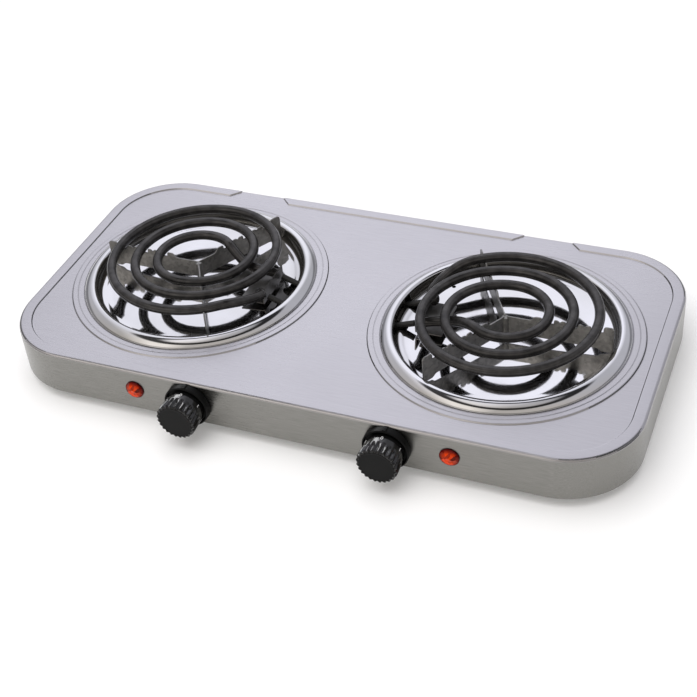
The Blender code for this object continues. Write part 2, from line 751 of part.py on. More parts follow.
def cord_clamp(surface, root):
    """A saddle with an arched opening for the cord, standing on the base plate."""
    low = BASE_Z + BASE_T + GAP
    outline = [(-9.0, low), (-4.2, low), (-4.2, KNOB_Z)]
    outline += [(-4.2 * math.cos(a), KNOB_Z + 4.2 * math.sin(a)) for a in (0.5, 1.0, 1.57, 2.14, 2.64)]
    outline += [(4.2, KNOB_Z), (4.2, low), (9.0, low), (9.0, KNOB_Z + 4.0), (5.0, KNOB_Z + 8.0)]
    outline += [(-5.0, KNOB_Z + 8.0), (-9.0, KNOB_Z + 4.0)]
    loops = [[(x, y, z) for x, z in outline] for y in (104.0, 113.0)]
    return finish(solid(stack(loops)), "cord_clamp", surface, root)


def terminal_strip(surface, root):
    """The mains connector block: a bar with a raised tower for each of its three ways."""
    low = BASE_Z + BASE_T + GAP
    outline = [(-16.0, low), (16.0, low), (16.0, low + 9.0)]
    for centre in (10.0, 0.0, -10.0):
        outline += [(centre + 4.0, low + 9.0), (centre + 4.0, low + 14.0)]
        outline += [(centre - 4.0, low + 14.0), (centre - 4.0, low + 9.0)]
    outline += [(-16.0, low + 9.0)]
    loops = [[(x, y, z) for x, z in outline] for y in (72.0, 88.0)]
    return finish(solid(stack(loops)), "terminal_strip", surface, root)


def earth_screw(surface, root):
    low = BASE_Z - 3.0
    high = BASE_Z + BASE_T + GAP
    profile = ((0.0, low), (2.0, low), (2.0, high), (3.8, high), (3.8, high + 2.0), (0.0, high + 2.0))
    bm = lathe(profile, 12, False)
    bmesh.ops.translate(bm, vec=(22.0, 96.0, 0.0), verts=bm.verts)
    return finish(solid(bm), "earth_screw", surface, root)


def wire(surface, root, name, start, end, sag):
    """An insulated wire that leaves the strip, lies near the base plate and rises to its end."""
    a = Vector(start)
    b = Vector(end)
    flat = Vector((b.x - a.x, b.y - a.y, 0.0))
    path = [a] + hermite(a, flat * 0.5 + Vector((0.0, -40.0, -sag)), b, flat * 0.5, 8)
    section = circle(1.3, 5)
    return finish(solid(sweep(path, section)), name, surface, root, (0.0, 0.0, 0.0), 75.0)


def mains(surfaces, root):
    cord_gland(surfaces["rubber"], root)
    cord_clamp(surfaces["sleeve"], root)
    terminal_strip(surfaces["ceramic"], root)
    earth_screw(surfaces["zinc"], root)
    floor = BASE_Z + BASE_T + 6.0
    for side, word in ((-1, "left"), (1, "right")):
        start = (side * 10.0, 71.5, floor)
        end = (side * (KNOB_X - 8.0), FRONT_Y + 25.5, 20.0)
        wire(surfaces["sleeve"], root, "wire_live_" + word, start, end, 4.0)
        start = (side * 4.0, 71.5, floor)
        end = (side * (KNOB_X - 3.0), FRONT_Y + 26.5, 30.0)
        wire(surfaces["sleeve"], root, "wire_load_" + word, start, end, 2.0)


def build():
    clear_scene()
    surfaces = {
        "steel": material("brushed_steel", (0.56, 0.55, 0.60), 0.34, 1.0),
        "chrome": material("chrome", (0.80, 0.80, 0.80), 0.08, 1.0),
        "galvanised": material("galvanised_steel", (0.30, 0.31, 0.29), 0.5, 0.8),
        "zinc": material("zinc_screw", (0.60, 0.60, 0.58), 0.35, 1.0),
        "sheath": material("coil_sheath", (0.05, 0.05, 0.052), 0.45, 0.4),
        "rubber": material("black_rubber", (0.02, 0.02, 0.02), 0.8),
        "sleeve": material("black_insulation", (0.012, 0.012, 0.012), 0.55),
        "ceramic": material("ceramic", (0.75, 0.72, 0.65), 0.6),
        "knob": material("black_plastic", (0.022, 0.022, 0.024), 0.42),
        "lens": material("amber_lens", (0.85, 0.06, 0.01), 0.15),
    }
    root = empty("hot_plate", None, (0.0, BODY_Y, 0.0))
    top_housing(surfaces["steel"], root)
    base_plate(surfaces["galvanised"], root)
    feet(surfaces, root)
    burners(surfaces, root)
    controls(surfaces, root)
    mains(surfaces, root)


build()
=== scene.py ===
# %% [markdown]
# A twin-coil electric hot plate, dressed for a portrait.
# The working model already gives every part its size and place. Here the parts that are seen are
# modelled again with finer edges, and every part gets a finish. Everything is in metres, and the
# sizes are written in millimetres and multiplied by MM, because a maker thinks in millimetres.

# %% Load the working model
import json
import math

import bmesh
import bpy
from mathutils import Matrix, Vector

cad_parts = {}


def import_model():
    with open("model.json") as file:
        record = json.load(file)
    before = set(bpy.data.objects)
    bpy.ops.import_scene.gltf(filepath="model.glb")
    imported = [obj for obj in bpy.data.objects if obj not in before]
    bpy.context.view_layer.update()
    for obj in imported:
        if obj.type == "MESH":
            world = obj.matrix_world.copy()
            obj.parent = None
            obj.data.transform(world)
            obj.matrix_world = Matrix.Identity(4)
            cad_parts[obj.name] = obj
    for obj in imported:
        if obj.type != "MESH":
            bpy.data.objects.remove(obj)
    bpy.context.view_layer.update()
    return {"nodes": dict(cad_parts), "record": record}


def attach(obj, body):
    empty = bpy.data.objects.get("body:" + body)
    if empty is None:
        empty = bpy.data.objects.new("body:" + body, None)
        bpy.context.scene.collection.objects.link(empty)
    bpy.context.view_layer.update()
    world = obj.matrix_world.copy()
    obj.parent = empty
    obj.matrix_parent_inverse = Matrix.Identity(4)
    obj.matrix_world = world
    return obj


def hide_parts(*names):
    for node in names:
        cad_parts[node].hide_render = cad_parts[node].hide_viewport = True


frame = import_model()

MM = 0.001
nodes = frame["nodes"]

# %% Sizes shared by several pieces
BODY_Y = 10.25
LENGTH = 500.0
DEPTH = 251.0
CORNER_R = 58.0
SKIRT_Z = 8.0
RIM_Z = 45.2
BURNER_X = 128.5
KNOB_X = 79.0
KNOB_Z = 26.6
LAMP_X = 125.0
LAMP_Z = 27.8
MERGE = 0.002
FRONT_Y = BODY_Y - DEPTH / 2
SIDES = {"left": -1, "right": 1}
print("front wall at y =", FRONT_Y, "mm")

# %% [markdown]
# Most pieces below are shaped in edit mode, as they would be by hand; coils and spiders start as
# curves, digits as text. These helpers pick points, edges or faces by where they are, walk a circle
# through a profile, lay a curve, copy a piece to its other place, coat it and close it off. Picking
# by place instead of by number lets a size change without breaking the steps.

# %% Helpers for working by hand in code
def switch(mode):
    bpy.ops.object.mode_set(mode=mode)


def deselect():
    if bpy.context.object and bpy.context.object.mode != "OBJECT":
        switch("OBJECT")
    bpy.ops.object.select_all(action="DESELECT")


def focus(piece):
    deselect()
    piece.select_set(True)
    bpy.context.view_layer.objects.active = piece


def pick(kind, test):
    """Select the points, edges or faces whose middle (and normal) passes a test, in millimetres."""
    bpy.ops.mesh.select_mode(type=kind)
    bpy.ops.mesh.select_all(action="DESELECT")
    bm = bmesh.from_edit_mesh(bpy.context.object.data)
    bm.normal_update()
    if kind == "VERT":
        for vert in bm.verts:
            vert.select_set(bool(test(vert.co / MM)))
    elif kind == "EDGE":
        for edge in bm.edges:
            edge.select_set(bool(test(edge.verts[0].co / MM, edge.verts[1].co / MM)))
    else:
        for face in bm.faces:
            face.select_set(bool(test(face.calc_center_median() / MM, face.normal)))
    bm.select_flush_mode()
    bmesh.update_edit_mesh(bpy.context.object.data)


def move(x=0.0, y=0.0, z=0.0):
    bpy.ops.transform.translate(value=(x * MM, y * MM, z * MM))


def settle():
    """Put the piece's place, turn and size into its mesh."""
    bpy.ops.object.transform_apply(location=True, rotation=True, scale=True)


def apply_modifier(piece, kind, **values):
    focus(piece)
    modifier = piece.modifiers.new(kind.lower(), kind)
    for name, value in values.items():
        setattr(modifier, name, value)
    bpy.ops.object.modifier_apply(modifier=modifier.name)


def cut(piece, tool):
    apply_modifier(piece, "BOOLEAN", object=tool, operation="DIFFERENCE", solver="EXACT")
    bpy.data.objects.remove(tool, do_unlink=True)


def mend():
    """Merge doubled points and turn every face outwards."""
    bpy.ops.mesh.select_all(action="SELECT")
    bpy.ops.mesh.remove_doubles(threshold=MERGE * MM)
    bpy.ops.mesh.normals_make_consistent(inside=False)


def close_up(piece, angle=32.0, place=None, front=False):
    """Merge doubles, point faces out, put the piece in its place and shade it."""
    focus(piece)
    switch("EDIT")
    mend()
    switch("OBJECT")
    if front:
        piece.rotation_euler = (math.radians(90.0), 0.0, 0.0)
    if place:
        piece.location = Vector(place) * MM
    settle()
    bpy.ops.object.shade_smooth_by_angle(angle=math.radians(angle))
    apply_modifier(piece, "WEIGHTED_NORMAL", keep_sharp=True, weight=60)
    return piece


def walk(rings, radius, height, middle=(0.0, 0.0, 0.0)):
    """Extrude the picked circle from one (radius, height) to the next; a radius of 0 closes it."""
    for wide, high in rings:
        bpy.ops.mesh.extrude_edges_move()
        if wide == 0.0:
            move(z=high - height)
            bpy.ops.mesh.merge(type="CENTER")
            break
        scale = wide / radius
        bpy.ops.transform.resize(value=(scale, scale, 1.0), center_override=middle)
        move(z=high - height)
        radius, height = wide, high


def turned(name, rings, sides, start="OPEN"):
    """Walk a circle through (radius, height) rings, as on a lathe."""
    deselect()
    radius, height = rings[0]
    bpy.ops.mesh.primitive_circle_add(vertices=sides, radius=radius * MM)
    piece = bpy.context.object
    piece.name = name
    switch("EDIT")
    bpy.ops.mesh.select_mode(type="EDGE")
    bpy.ops.mesh.select_all(action="SELECT")
    move(z=height)
    if start == "FILLED":
        bpy.ops.mesh.edge_face_add()
    walk(rings[1:], radius, height)
    switch("OBJECT")
    return piece


def coat(piece, *finishes):
    """Give a piece these finishes and no others."""
    piece.data.materials.clear()
    for finish in finishes:
        piece.data.materials.append(finish)


def copy_of(piece, name):
    """A second piece with its own mesh."""
    other = piece.copy()
    other.data = piece.data.copy()
    other.name = name
    bpy.context.collection.objects.link(other)
    return other


def copy_across(piece, name, x):
    """A copy of a piece on the left of the front wall, at the same place on the right."""
    other = copy_of(piece, name)
    other.data.transform(Matrix.Translation((2 * x * MM, 0.0, 0.0)))
    return other


def curve_mesh(name, data, points, closed=False):
    """Lay a curve through points in millimetres and turn it into a mesh."""
    spline = data.splines.new("POLY")
    spline.points.add(len(points) - 1)
    for point, place in zip(spline.points, points):
        point.co = (*(place.to_3d() * MM), 1.0)
    spline.use_cyclic_u = closed
    piece = bpy.data.objects.new(name, data)
    bpy.context.collection.objects.link(piece)
    focus(piece)
    bpy.ops.object.convert(target="MESH")
    return bpy.context.object


def swing_round(piece):
    """Turn a burner's piece half round about the middle of the plate: the other burner's place."""
    middle = Matrix.Translation((0.0, BODY_Y * MM, 0.0))
    half = Matrix.Rotation(math.pi, 4, "Z")
    piece.data.transform(middle @ half @ middle.inverted())
    return piece


print("helpers ready")

# %% [markdown]
# Finishes come next. Real surfaces are never one even colour: brushed steel has lines one way,
# chrome carries faint haze and ripples from the press, plastic has a moulded grain. Each of these
# effects is used by several materials, so it is a node group with its own inputs. Noise on Object
# coordinates is used instead of painted images, since it stays sharp at any distance.

# %% Node helpers
def add(tree, kind, inputs=None, **settings):
    item = tree.nodes.new(kind)
    for name, value in settings.items():
        setattr(item, name, value)
    for name, value in (inputs or {}).items():
        socket = item.inputs[name]
        if isinstance(value, bpy.types.NodeSocket):
            tree.links.new(value, socket)
        else:
            socket.default_value = value
    return item


def new_group(name, inputs, outputs):
    """An empty node group with named inputs and outputs; returns the tree and its two ends."""
    tree = bpy.data.node_groups.new(name, "ShaderNodeTree")
    for label, kind, value in inputs:
        socket = tree.interface.new_socket(name=label, in_out="INPUT", socket_type=kind)
        if value is not None:
            socket.default_value = value
    for label, kind in outputs:
        tree.interface.new_socket(name=label, in_out="OUTPUT", socket_type=kind)
    return tree, tree.nodes.new("NodeGroupInput"), tree.nodes.new("NodeGroupOutput")


def remap(tree, value, low, high, from_low=0.0, from_high=1.0):
    item = add(tree, "ShaderNodeMapRange", {"Value": value, "From Min": from_low})
    item.inputs["From Max"].default_value = from_high
    item.inputs["To Min"].default_value = low
    item.inputs["To Max"].default_value = high
    return item.outputs["Result"]


def blend_colours(tree, factor, one, two):
    item = tree.nodes.new("ShaderNodeMix")
    item.data_type = "RGBA"
    for socket, value in ((item.inputs[0], factor), (item.inputs[6], one), (item.inputs[7], two)):
        if isinstance(value, bpy.types.NodeSocket):
            tree.links.new(value, socket)
        elif isinstance(value, tuple):
            socket.default_value = (*value, 1.0)
        else:
            socket.default_value = value
    return item.outputs[2]


print("node helpers ready")

# %% Group: lines left by a brush
def brushed_lines():
    """Fine lines along X, or along Y on walls that face X, and broad soft patches."""
    sockets = [
        ("Fineness", "NodeSocketFloat", 1.0),
        ("Patch Size", "NodeSocketFloat", 9.0),
    ]
    outputs = [("Lines", "NodeSocketFloat"), ("Patches", "NodeSocketFloat")]
    tree, start, end = new_group("brushed_lines", sockets, outputs)
    place = add(tree, "ShaderNodeTexCoord").outputs["Object"]
    facing = add(tree, "ShaderNodeNewGeometry").outputs["True Normal"]
    parts = add(tree, "ShaderNodeSeparateXYZ", {"Vector": facing})
    sideways = add(tree, "ShaderNodeMath", {0: parts.outputs["X"]}, operation="ABSOLUTE")
    side_mask = remap(tree, sideways.outputs[0], 0.0, 1.0, 0.6, 0.8)
    lines = []
    for scale in ((70.0, 2300.0, 2300.0), (2300.0, 70.0, 2300.0)):
        stretch = add(tree, "ShaderNodeMapping", {"Vector": place, "Scale": scale})
        fine = add(tree, "ShaderNodeTexNoise", {"Vector": stretch.outputs[0], "Detail": 3.0})
        tree.links.new(start.outputs["Fineness"], fine.inputs["Scale"])
        lines.append(fine.outputs["Fac"])
    both = add(tree, "ShaderNodeMix", {0: side_mask, 2: lines[0], 3: lines[1]})
    tree.links.new(both.outputs[0], end.inputs["Lines"])
    broad = add(tree, "ShaderNodeTexNoise", {"Vector": place, "Detail": 4.0, "Roughness": 0.6})
    tree.links.new(start.outputs["Patch Size"], broad.inputs["Scale"])
    tree.links.new(broad.outputs["Fac"], end.inputs["Patches"])
    return tree


BRUSHED = brushed_lines()
print("group:", BRUSHED.name)

# %% Group: grain and haze without a direction
def even_grain():
    """A fine grain for bump, a mid-size mottle and a large haze, all at given sizes."""
    sockets = [
        ("Grain Scale", "NodeSocketFloat", 900.0),
        ("Mottle Scale", "NodeSocketFloat", 60.0),
        ("Haze Scale", "NodeSocketFloat", 8.0),
    ]
    outputs = [(name, "NodeSocketFloat") for name in ("Grain", "Mottle", "Haze")]
    tree, start, end = new_group("even_grain", sockets, outputs)
    place = add(tree, "ShaderNodeTexCoord").outputs["Object"]
    for name, detail in (("Grain", 2.0), ("Mottle", 5.0), ("Haze", 3.0)):
        noise = add(tree, "ShaderNodeTexNoise", {"Vector": place, "Detail": detail})
        tree.links.new(start.outputs[name + " Scale"], noise.inputs["Scale"])
        tree.links.new(noise.outputs["Fac"], end.inputs[name])
    return tree


EVEN = even_grain()
print("group:", EVEN.name)

# %% Start a material
def material(name, roughness, metallic=0.0):
    """A new material with its shader's plain values; returns it, its tree and its shader."""
    made = bpy.data.materials.new(name)
    made.use_nodes = True
    tree = made.node_tree
    shader = tree.nodes["Principled BSDF"]
    shader.inputs["Roughness"].default_value = roughness
    shader.inputs["Metallic"].default_value = metallic
    return made, tree, shader


def use_group(tree, group, **values):
    item = tree.nodes.new("ShaderNodeGroup")
    item.node_tree = group
    for name, value in values.items():
        item.inputs[name.replace("_", " ")].default_value = value
    return item


def bump(tree, shader, height, strength, distance):
    item = add(tree, "ShaderNodeBump", {"Height": height, "Strength": strength})
    item.inputs["Distance"].default_value = distance
    tree.links.new(item.outputs["Normal"], shader.inputs["Normal"])


def grained(name, light, dark, rough, grain, metallic=0.0, depth=0.00002, strength=0.4, mottle=60.0):
    """A finish whose colour drifts between two tones, with its own grain and uneven gloss."""
    made, tree, shader = material(name, rough[0], metallic)
    even = use_group(tree, EVEN, Grain_Scale=grain, Mottle_Scale=mottle)
    tone = remap(tree, even.outputs["Mottle"], 0.0, 1.0, 0.3, 0.7)
    tree.links.new(blend_colours(tree, tone, dark, light), shader.inputs["Base Color"])
    gloss = remap(tree, even.outputs["Haze"], rough[0], rough[1], 0.3, 0.7)
    tree.links.new(gloss, shader.inputs["Roughness"])
    bump(tree, shader, even.outputs["Grain"], strength, depth)
    return made


print("material helpers ready")

# %% [markdown]
# Brushed stainless steel: the plate was brushed along its length before pressing, so the lines run
# along X on the top and front, and along Y on the end walls. The lines go into a very small bump
# and into the roughness, which is what spreads a highlight across them. The walls are painted
# darker than the top: a mask of how far the surface faces up blends two tones, the darker one
# painted shade. The narrow steps pressed into the top get a darker copy still, painted shade.

# %% Brushed steel
def brushed_steel(name, top, shaded_wall, rough_low):
    """Steel with painted shade: faces turned sideways get darker tones than the top; both tones go from
    dark to light.
    """
    made, tree, shader = material(name, 0.34, 1.0)
    lines = use_group(tree, BRUSHED, Fineness=1.0, Patch_Size=7.0)
    fine = lines.outputs["Lines"]
    patches = lines.outputs["Patches"]
    bright = remap(tree, fine, 0.0, 1.0, 0.3, 0.7)
    flat_tone = blend_colours(tree, bright, *top)
    painted_shade_wall_tone = blend_colours(tree, bright, *shaded_wall)
    facing = add(tree, "ShaderNodeNewGeometry").outputs["Normal"]
    parts = add(tree, "ShaderNodeSeparateXYZ", {"Vector": facing})
    # Faces that turn sideways take the darker wall tone: painted shade.
    painted_shade_blend = remap(tree, parts.outputs["Z"], 0.0, 1.0, 0.15, 0.75)
    base = blend_colours(tree, painted_shade_blend, painted_shade_wall_tone, flat_tone)
    tree.links.new(base, shader.inputs["Base Color"])
    rough = remap(tree, patches, rough_low, rough_low + 0.045, 0.35, 0.65)
    extra = remap(tree, fine, -0.03, 0.03, 0.3, 0.7)
    total = add(tree, "ShaderNodeMath", {0: rough, 1: extra}, operation="ADD")
    tree.links.new(total.outputs[0], shader.inputs["Roughness"])
    bump(tree, shader, fine, 0.09, 0.00002)
    return made


# The second pair of tones is the walls' painted shade.
STEEL = brushed_steel(
    "brushed_steel",
    ((0.585, 0.575, 0.595), (0.665, 0.655, 0.675)),
    ((0.215, 0.212, 0.198), (0.275, 0.27, 0.255)),
    0.27,
)
# A dark copy of the steel for the pressed steps: painted shade along the steps.
STEP_SHADE = brushed_steel(
    "steel_step_painted_shade", ((0.20, 0.20, 0.20), (0.28, 0.28, 0.28)), ((0.12, 0.12, 0.12), (0.18, 0.18, 0.18)), 0.22
)
print("finishes:", STEEL.name, STEP_SHADE.name)

# %% [markdown]
# Chrome on the drip pans: nearly a mirror. A bowl pressed from thin sheet is never quite true, so
# a slow ripple bends what it reflects, and cleaning leaves a slight haze in the roughness. The
# pan's upright wall gets its own darker tones: painted shade.

# %% Chrome
def chrome(name, dark, light, rough):
    made, tree, shader = material(name, rough[0], 1.0)
    even = use_group(tree, EVEN, Grain_Scale=500.0, Mottle_Scale=34.0, Haze_Scale=16.0)
    tone = remap(tree, even.outputs["Haze"], 0.0, 1.0, 0.35, 0.65)
    base = blend_colours(tree, tone, dark, light)
    tree.links.new(base, shader.inputs["Base Color"])
    gloss = remap(tree, even.outputs["Mottle"], rough[0], rough[1], 0.35, 0.75)
    tree.links.new(gloss, shader.inputs["Roughness"])
    bump(tree, shader, even.outputs["Mottle"], 0.10, 0.0006)
    return made


CHROME = chrome("chrome", (0.72, 0.72, 0.72), (0.83, 0.83, 0.85), (0.04, 0.11))
# A darker copy of the chrome: painted shade on the pan's upright wall.
WALL_SHADE_CHROME = chrome("chrome_painted_wall_shade", (0.20, 0.195, 0.185), (0.30, 0.295, 0.285), (0.16, 0.26))
print("finishes:", CHROME.name, WALL_SHADE_CHROME.name)

# %% [markdown]
# The small metal parts. Galvanised sheet shows a dull spangle, small crystals of zinc that catch
# the light one by one, so its tone comes from cells and not from smooth noise. The spiders stand in
# the heat and have gone darker. Plated screws are brighter and even.

# %% Galvanised sheet, zinc and the dark coil sheath
def galvanised(name, dark, light):
    made, tree, shader = material(name, 0.5, 0.85)
    place = add(tree, "ShaderNodeTexCoord").outputs["Object"]
    cells = add(tree, "ShaderNodeTexVoronoi", {"Vector": place, "Scale": 420.0})
    tone = add(tree, "ShaderNodeSeparateXYZ", {"Vector": cells.outputs["Color"]})
    even = use_group(tree, EVEN, Grain_Scale=1400.0, Mottle_Scale=90.0)
    base = blend_colours(tree, tone.outputs["X"], dark, light)
    tree.links.new(base, shader.inputs["Base Color"])
    gloss = remap(tree, tone.outputs["Y"], 0.30, 0.46)
    tree.links.new(gloss, shader.inputs["Roughness"])
    bump(tree, shader, even.outputs["Grain"], 0.25, 0.00003)
    return made


GALVANISED = galvanised("galvanised_steel", (0.42, 0.42, 0.405), (0.54, 0.54, 0.52))
HEATED = galvanised("heated_galvanised_steel", (0.22, 0.22, 0.215), (0.34, 0.335, 0.325))
ZINC = grained("zinc_plate", (0.66, 0.66, 0.64), (0.52, 0.52, 0.50), (0.28, 0.42), 1200.0, 1.0)
SHEATH = grained(
    "coil_sheath",
    (0.070, 0.067, 0.066),
    (0.030, 0.029, 0.029),
    (0.17, 0.27),
    grain=1700.0,
    metallic=0.6,
    depth=0.00003,
    strength=0.3,
    mottle=140.0,
)
SCORCHED = grained(
    "scorched_steel",
    (0.20, 0.195, 0.19),
    (0.12, 0.118, 0.115),
    (0.34, 0.48),
    grain=1500.0,
    metallic=0.8,
    depth=0.00003,
    strength=0.3,
    mottle=90.0,
)
print("finishes:", GALVANISED.name, ZINC.name, SHEATH.name, SCORCHED.name)

# %% Rubber, insulation, ceramic and knob plastic
RUBBER = grained("black_rubber", (0.030, 0.030, 0.031), (0.018, 0.018, 0.018), (0.70, 0.85), 1500.0)
SLEEVE = grained("black_insulation", (0.017, 0.017, 0.017), (0.009, 0.009, 0.009), (0.42, 0.6), 1300.0)
CERAMIC = grained("ceramic", (0.78, 0.75, 0.68), (0.66, 0.63, 0.56), (0.55, 0.7), 1100.0)
KNOB_SIDE = grained(
    "knob_plastic", (0.007, 0.007, 0.007), (0.004, 0.004, 0.004), (0.12, 0.2), 2200.0, depth=0.00001
)
KNOB_FACE = grained(
    "knob_matte_face", (0.006, 0.006, 0.006), (0.003, 0.003, 0.003), (0.40, 0.5), 2400.0, depth=0.00004
)
for plastic, sheen in ((KNOB_SIDE, 0.7), (KNOB_FACE, 0.12)):
    plastic.node_tree.nodes["Principled BSDF"].inputs["Specular IOR Level"].default_value = sheen
PRINT = grained("white_print", (0.72, 0.72, 0.72), (0.60, 0.60, 0.60), (0.5, 0.6), 1800.0)
print("finishes:", RUBBER.name, SLEEVE.name, CERAMIC.name, KNOB_SIDE.name, KNOB_FACE.name)

# %% [markdown]
# The lamp lens is clear orange-red plastic with moulded facets that scatter the small lamp behind
# it. That lamp is not built: its light is painted into the colour, a painted glow in the middle and
# painted shade at the rim, so the colour follows the distance from the lens's own axis. The facets
# are cells in the bump, and cells in the colour as painted glints; the painted colour also glows
# faintly.

# %% Lamp lens
def lens_plastic(name, axis_x):
    made, tree, shader = material(name, 0.12)
    place = add(tree, "ShaderNodeTexCoord").outputs["Object"]
    offset = (-axis_x * MM, 0.0, -LAMP_Z * MM)
    across = {"Vector": place, "Location": offset, "Scale": (1.0, 0.0, 1.0)}
    centred = add(tree, "ShaderNodeMapping", across)
    far = add(tree, "ShaderNodeVectorMath", {0: centred.outputs[0]}, operation="LENGTH")
    # Painted shade towards the rim of the lens.
    painted_rim_shade = remap(tree, far.outputs["Value"], 0.0, 1.0, 0.0045, 0.0072)
    cells = add(tree, "ShaderNodeTexVoronoi", {"Vector": centred.outputs[0], "Scale": 330.0})
    tone = add(tree, "ShaderNodeSeparateXYZ", {"Vector": cells.outputs["Color"]})
    # Dark and bright cells: painted glints of the facets, up to a painted glow.
    middle = blend_colours(tree, tone.outputs["X"], (0.05, 0.002, 0.001), (0.88, 0.060, 0.003))
    painted_lamp_light = blend_colours(tree, painted_rim_shade, middle, (0.07, 0.002, 0.002))
    # The painted lamp light goes into the colour and, faintly, into a glow.
    tree.links.new(painted_lamp_light, shader.inputs["Base Color"])
    tree.links.new(painted_lamp_light, shader.inputs["Emission Color"])
    shader.inputs["Emission Strength"].default_value = 0.2
    shader.inputs["Specular IOR Level"].default_value = 0.10
    bump(tree, shader, cells.outputs["Distance"], 0.9, 0.0012)
    return made


LENS = {word: lens_plastic("lens_" + word, side * LAMP_X) for word, side in SIDES.items()}
print("finishes:", [item.name for item in LENS.values()])

# %% [markdown]
# The housing is one pressed sheet. It starts as a box: the upright edges are bevelled to the plan's
# corners, the top edge is rounded, and the top face is inset twice so that the field inside the
# border sinks by a millimetre. Modelling the outer skin first and giving it its thickness last
# keeps the sheet even, as a press does.

# %% Housing: box, corners and border
BAND = 9.5
DROP = 1.0
EDGE_R = 2.5
SHEET = 0.8
HEM_R = 1.3
STEP_LINES = (0.25, 1.05, 1.3)


def housing_box():
    deselect()
    bpy.ops.mesh.primitive_cube_add(size=1.0)
    piece = bpy.context.object
    piece.name = "pressed_housing"
    piece.scale = (LENGTH * MM, DEPTH * MM, (RIM_Z - SKIRT_Z) * MM)
    piece.location = (0.0, 0.0, (RIM_Z + SKIRT_Z) / 2 * MM)
    settle()
    switch("EDIT")
    pick("EDGE", lambda a, b: abs(a.z - b.z) > 30.0)
    bpy.ops.mesh.bevel(offset=CORNER_R * MM, offset_type="OFFSET", segments=28, profile=0.5)
    pick("EDGE", lambda a, b: a.z > RIM_Z - 0.01 and b.z > RIM_Z - 0.01)
    bpy.ops.mesh.bevel(offset=EDGE_R * MM, offset_type="OFFSET", segments=6, profile=0.5)
    pick("EDGE", lambda a, b: a.z < SKIRT_Z + 0.01 and b.z < SKIRT_Z + 0.01)
    bpy.ops.mesh.bevel(offset=HEM_R * MM, offset_type="OFFSET", segments=3, profile=0.5)
    pick("FACE", lambda c, n: n.z < -0.99 and abs(c.x) < 1.0)
    bpy.ops.mesh.delete(type="FACE")
    pick("FACE", lambda c, n: n.z > 0.99 and abs(c.x) < 1.0 and c.z > RIM_Z - 0.01)
    bpy.ops.mesh.inset(thickness=(BAND - EDGE_R) * MM, depth=0.0)
    bpy.ops.mesh.inset(thickness=0.25 * MM, depth=-0.05 * MM)
    bpy.ops.mesh.inset(thickness=0.8 * MM, depth=-(DROP - 0.1) * MM)
    bpy.ops.mesh.inset(thickness=0.25 * MM, depth=-0.05 * MM)
    return piece


HOUSING = housing_box()
switch("OBJECT")
print("housing faces so far:", len(HOUSING.data.polygons))

# %% [markdown]
# Behind each burner the border is pressed down to the field's level, so a lid could hinge there.
# The rear strips are cut across with bisect, the cuts are slanted by moving their inner ends, and
# what lies between them is lowered.

# %% Housing: the two notches in the rear border
HALF_GAP = 20.0
SLANT = BAND - EDGE_R


def rear_notches():
    switch("EDIT")
    back = DEPTH / 2
    lines = []
    for centre in (-BURNER_X, BURNER_X):
        for step in (-HALF_GAP - 1.0, -HALF_GAP, HALF_GAP, HALF_GAP + 1.0):
            lines.append(centre + step)
    for x in lines:
        pick("FACE", lambda c, n: c.y > back - BAND - 1.6 and n.z > -0.5 and c.z > 20.0)
        bpy.ops.mesh.bisect(plane_co=(x * MM, 0.0, 0.0), plane_no=(1.0, 0.0, 0.0))
    for centre in (-BURNER_X, BURNER_X):
        for side in (-1, 1):
            for step in (HALF_GAP, HALF_GAP + 1.0):
                x = centre + side * step
                for inset in (BAND, *(BAND + line for line in STEP_LINES)):
                    y = back - inset
                    pick("VERT", lambda p: abs(p.x - x) < 0.02 and abs(p.y - y) < 0.02)
                    move(x=side * (inset - EDGE_R))
        reach = HALF_GAP + SLANT + 0.02

        def lowered(p, row):
            along = HALF_GAP + 0.02 + max(0.0, back - EDGE_R - p.y)
            near = abs(p.x - centre) < min(along, reach)
            return near and p.y > back - BAND - 0.02 and abs(p.z - row) < 0.02

        for step in range(1, 7):
            row = RIM_Z - EDGE_R + EDGE_R * math.sin(math.radians(15.0 * step))
            pick("VERT", lambda p: lowered(p, row))
            move(z=-DROP * (row - RIM_Z + EDGE_R) / EDGE_R)
        edge = back - BAND - STEP_LINES[0]
        pick("VERT", lambda p: abs(p.x - centre) < reach + 0.3 and abs(p.y - edge) < 0.02)
        move(z=-DROP + 0.05)
        edge = back - BAND - STEP_LINES[1]
        pick("VERT", lambda p: abs(p.x - centre) < reach + 1.1 and abs(p.y - edge) < 0.02)
        move(z=-0.05)
    switch("OBJECT")


rear_notches()
print("housing faces with notches:", len(HOUSING.data.polygons))

# %% [markdown]
# Each burner sits on a raised ring. A circle is laid in the field, the field is filled again
# around both circles, and each circle is then walked inwards over the step to the hole.

# %% Housing: field, ring plateaus and holes
FIELD_Z = RIM_Z - DROP
RING_START_R = 105.5
RING_MIDDLE_R = 102.0
PLATEAU = (
    (105.1, FIELD_Z),
    (104.8, FIELD_Z + 0.06),
    (104.1, RIM_Z - 0.08),
    (103.8, RIM_Z),
    (103.4, RIM_Z),
    (100.6, RIM_Z),
    (100.4, RIM_Z),
    (100.15, RIM_Z - 0.16),
    (99.9, RIM_Z - 0.16),
    (99.6, RIM_Z),
    (99.4, RIM_Z),
    (91.5, RIM_Z),
    (91.1, RIM_Z - 0.04),
    (90.9, RIM_Z - 0.10),
)


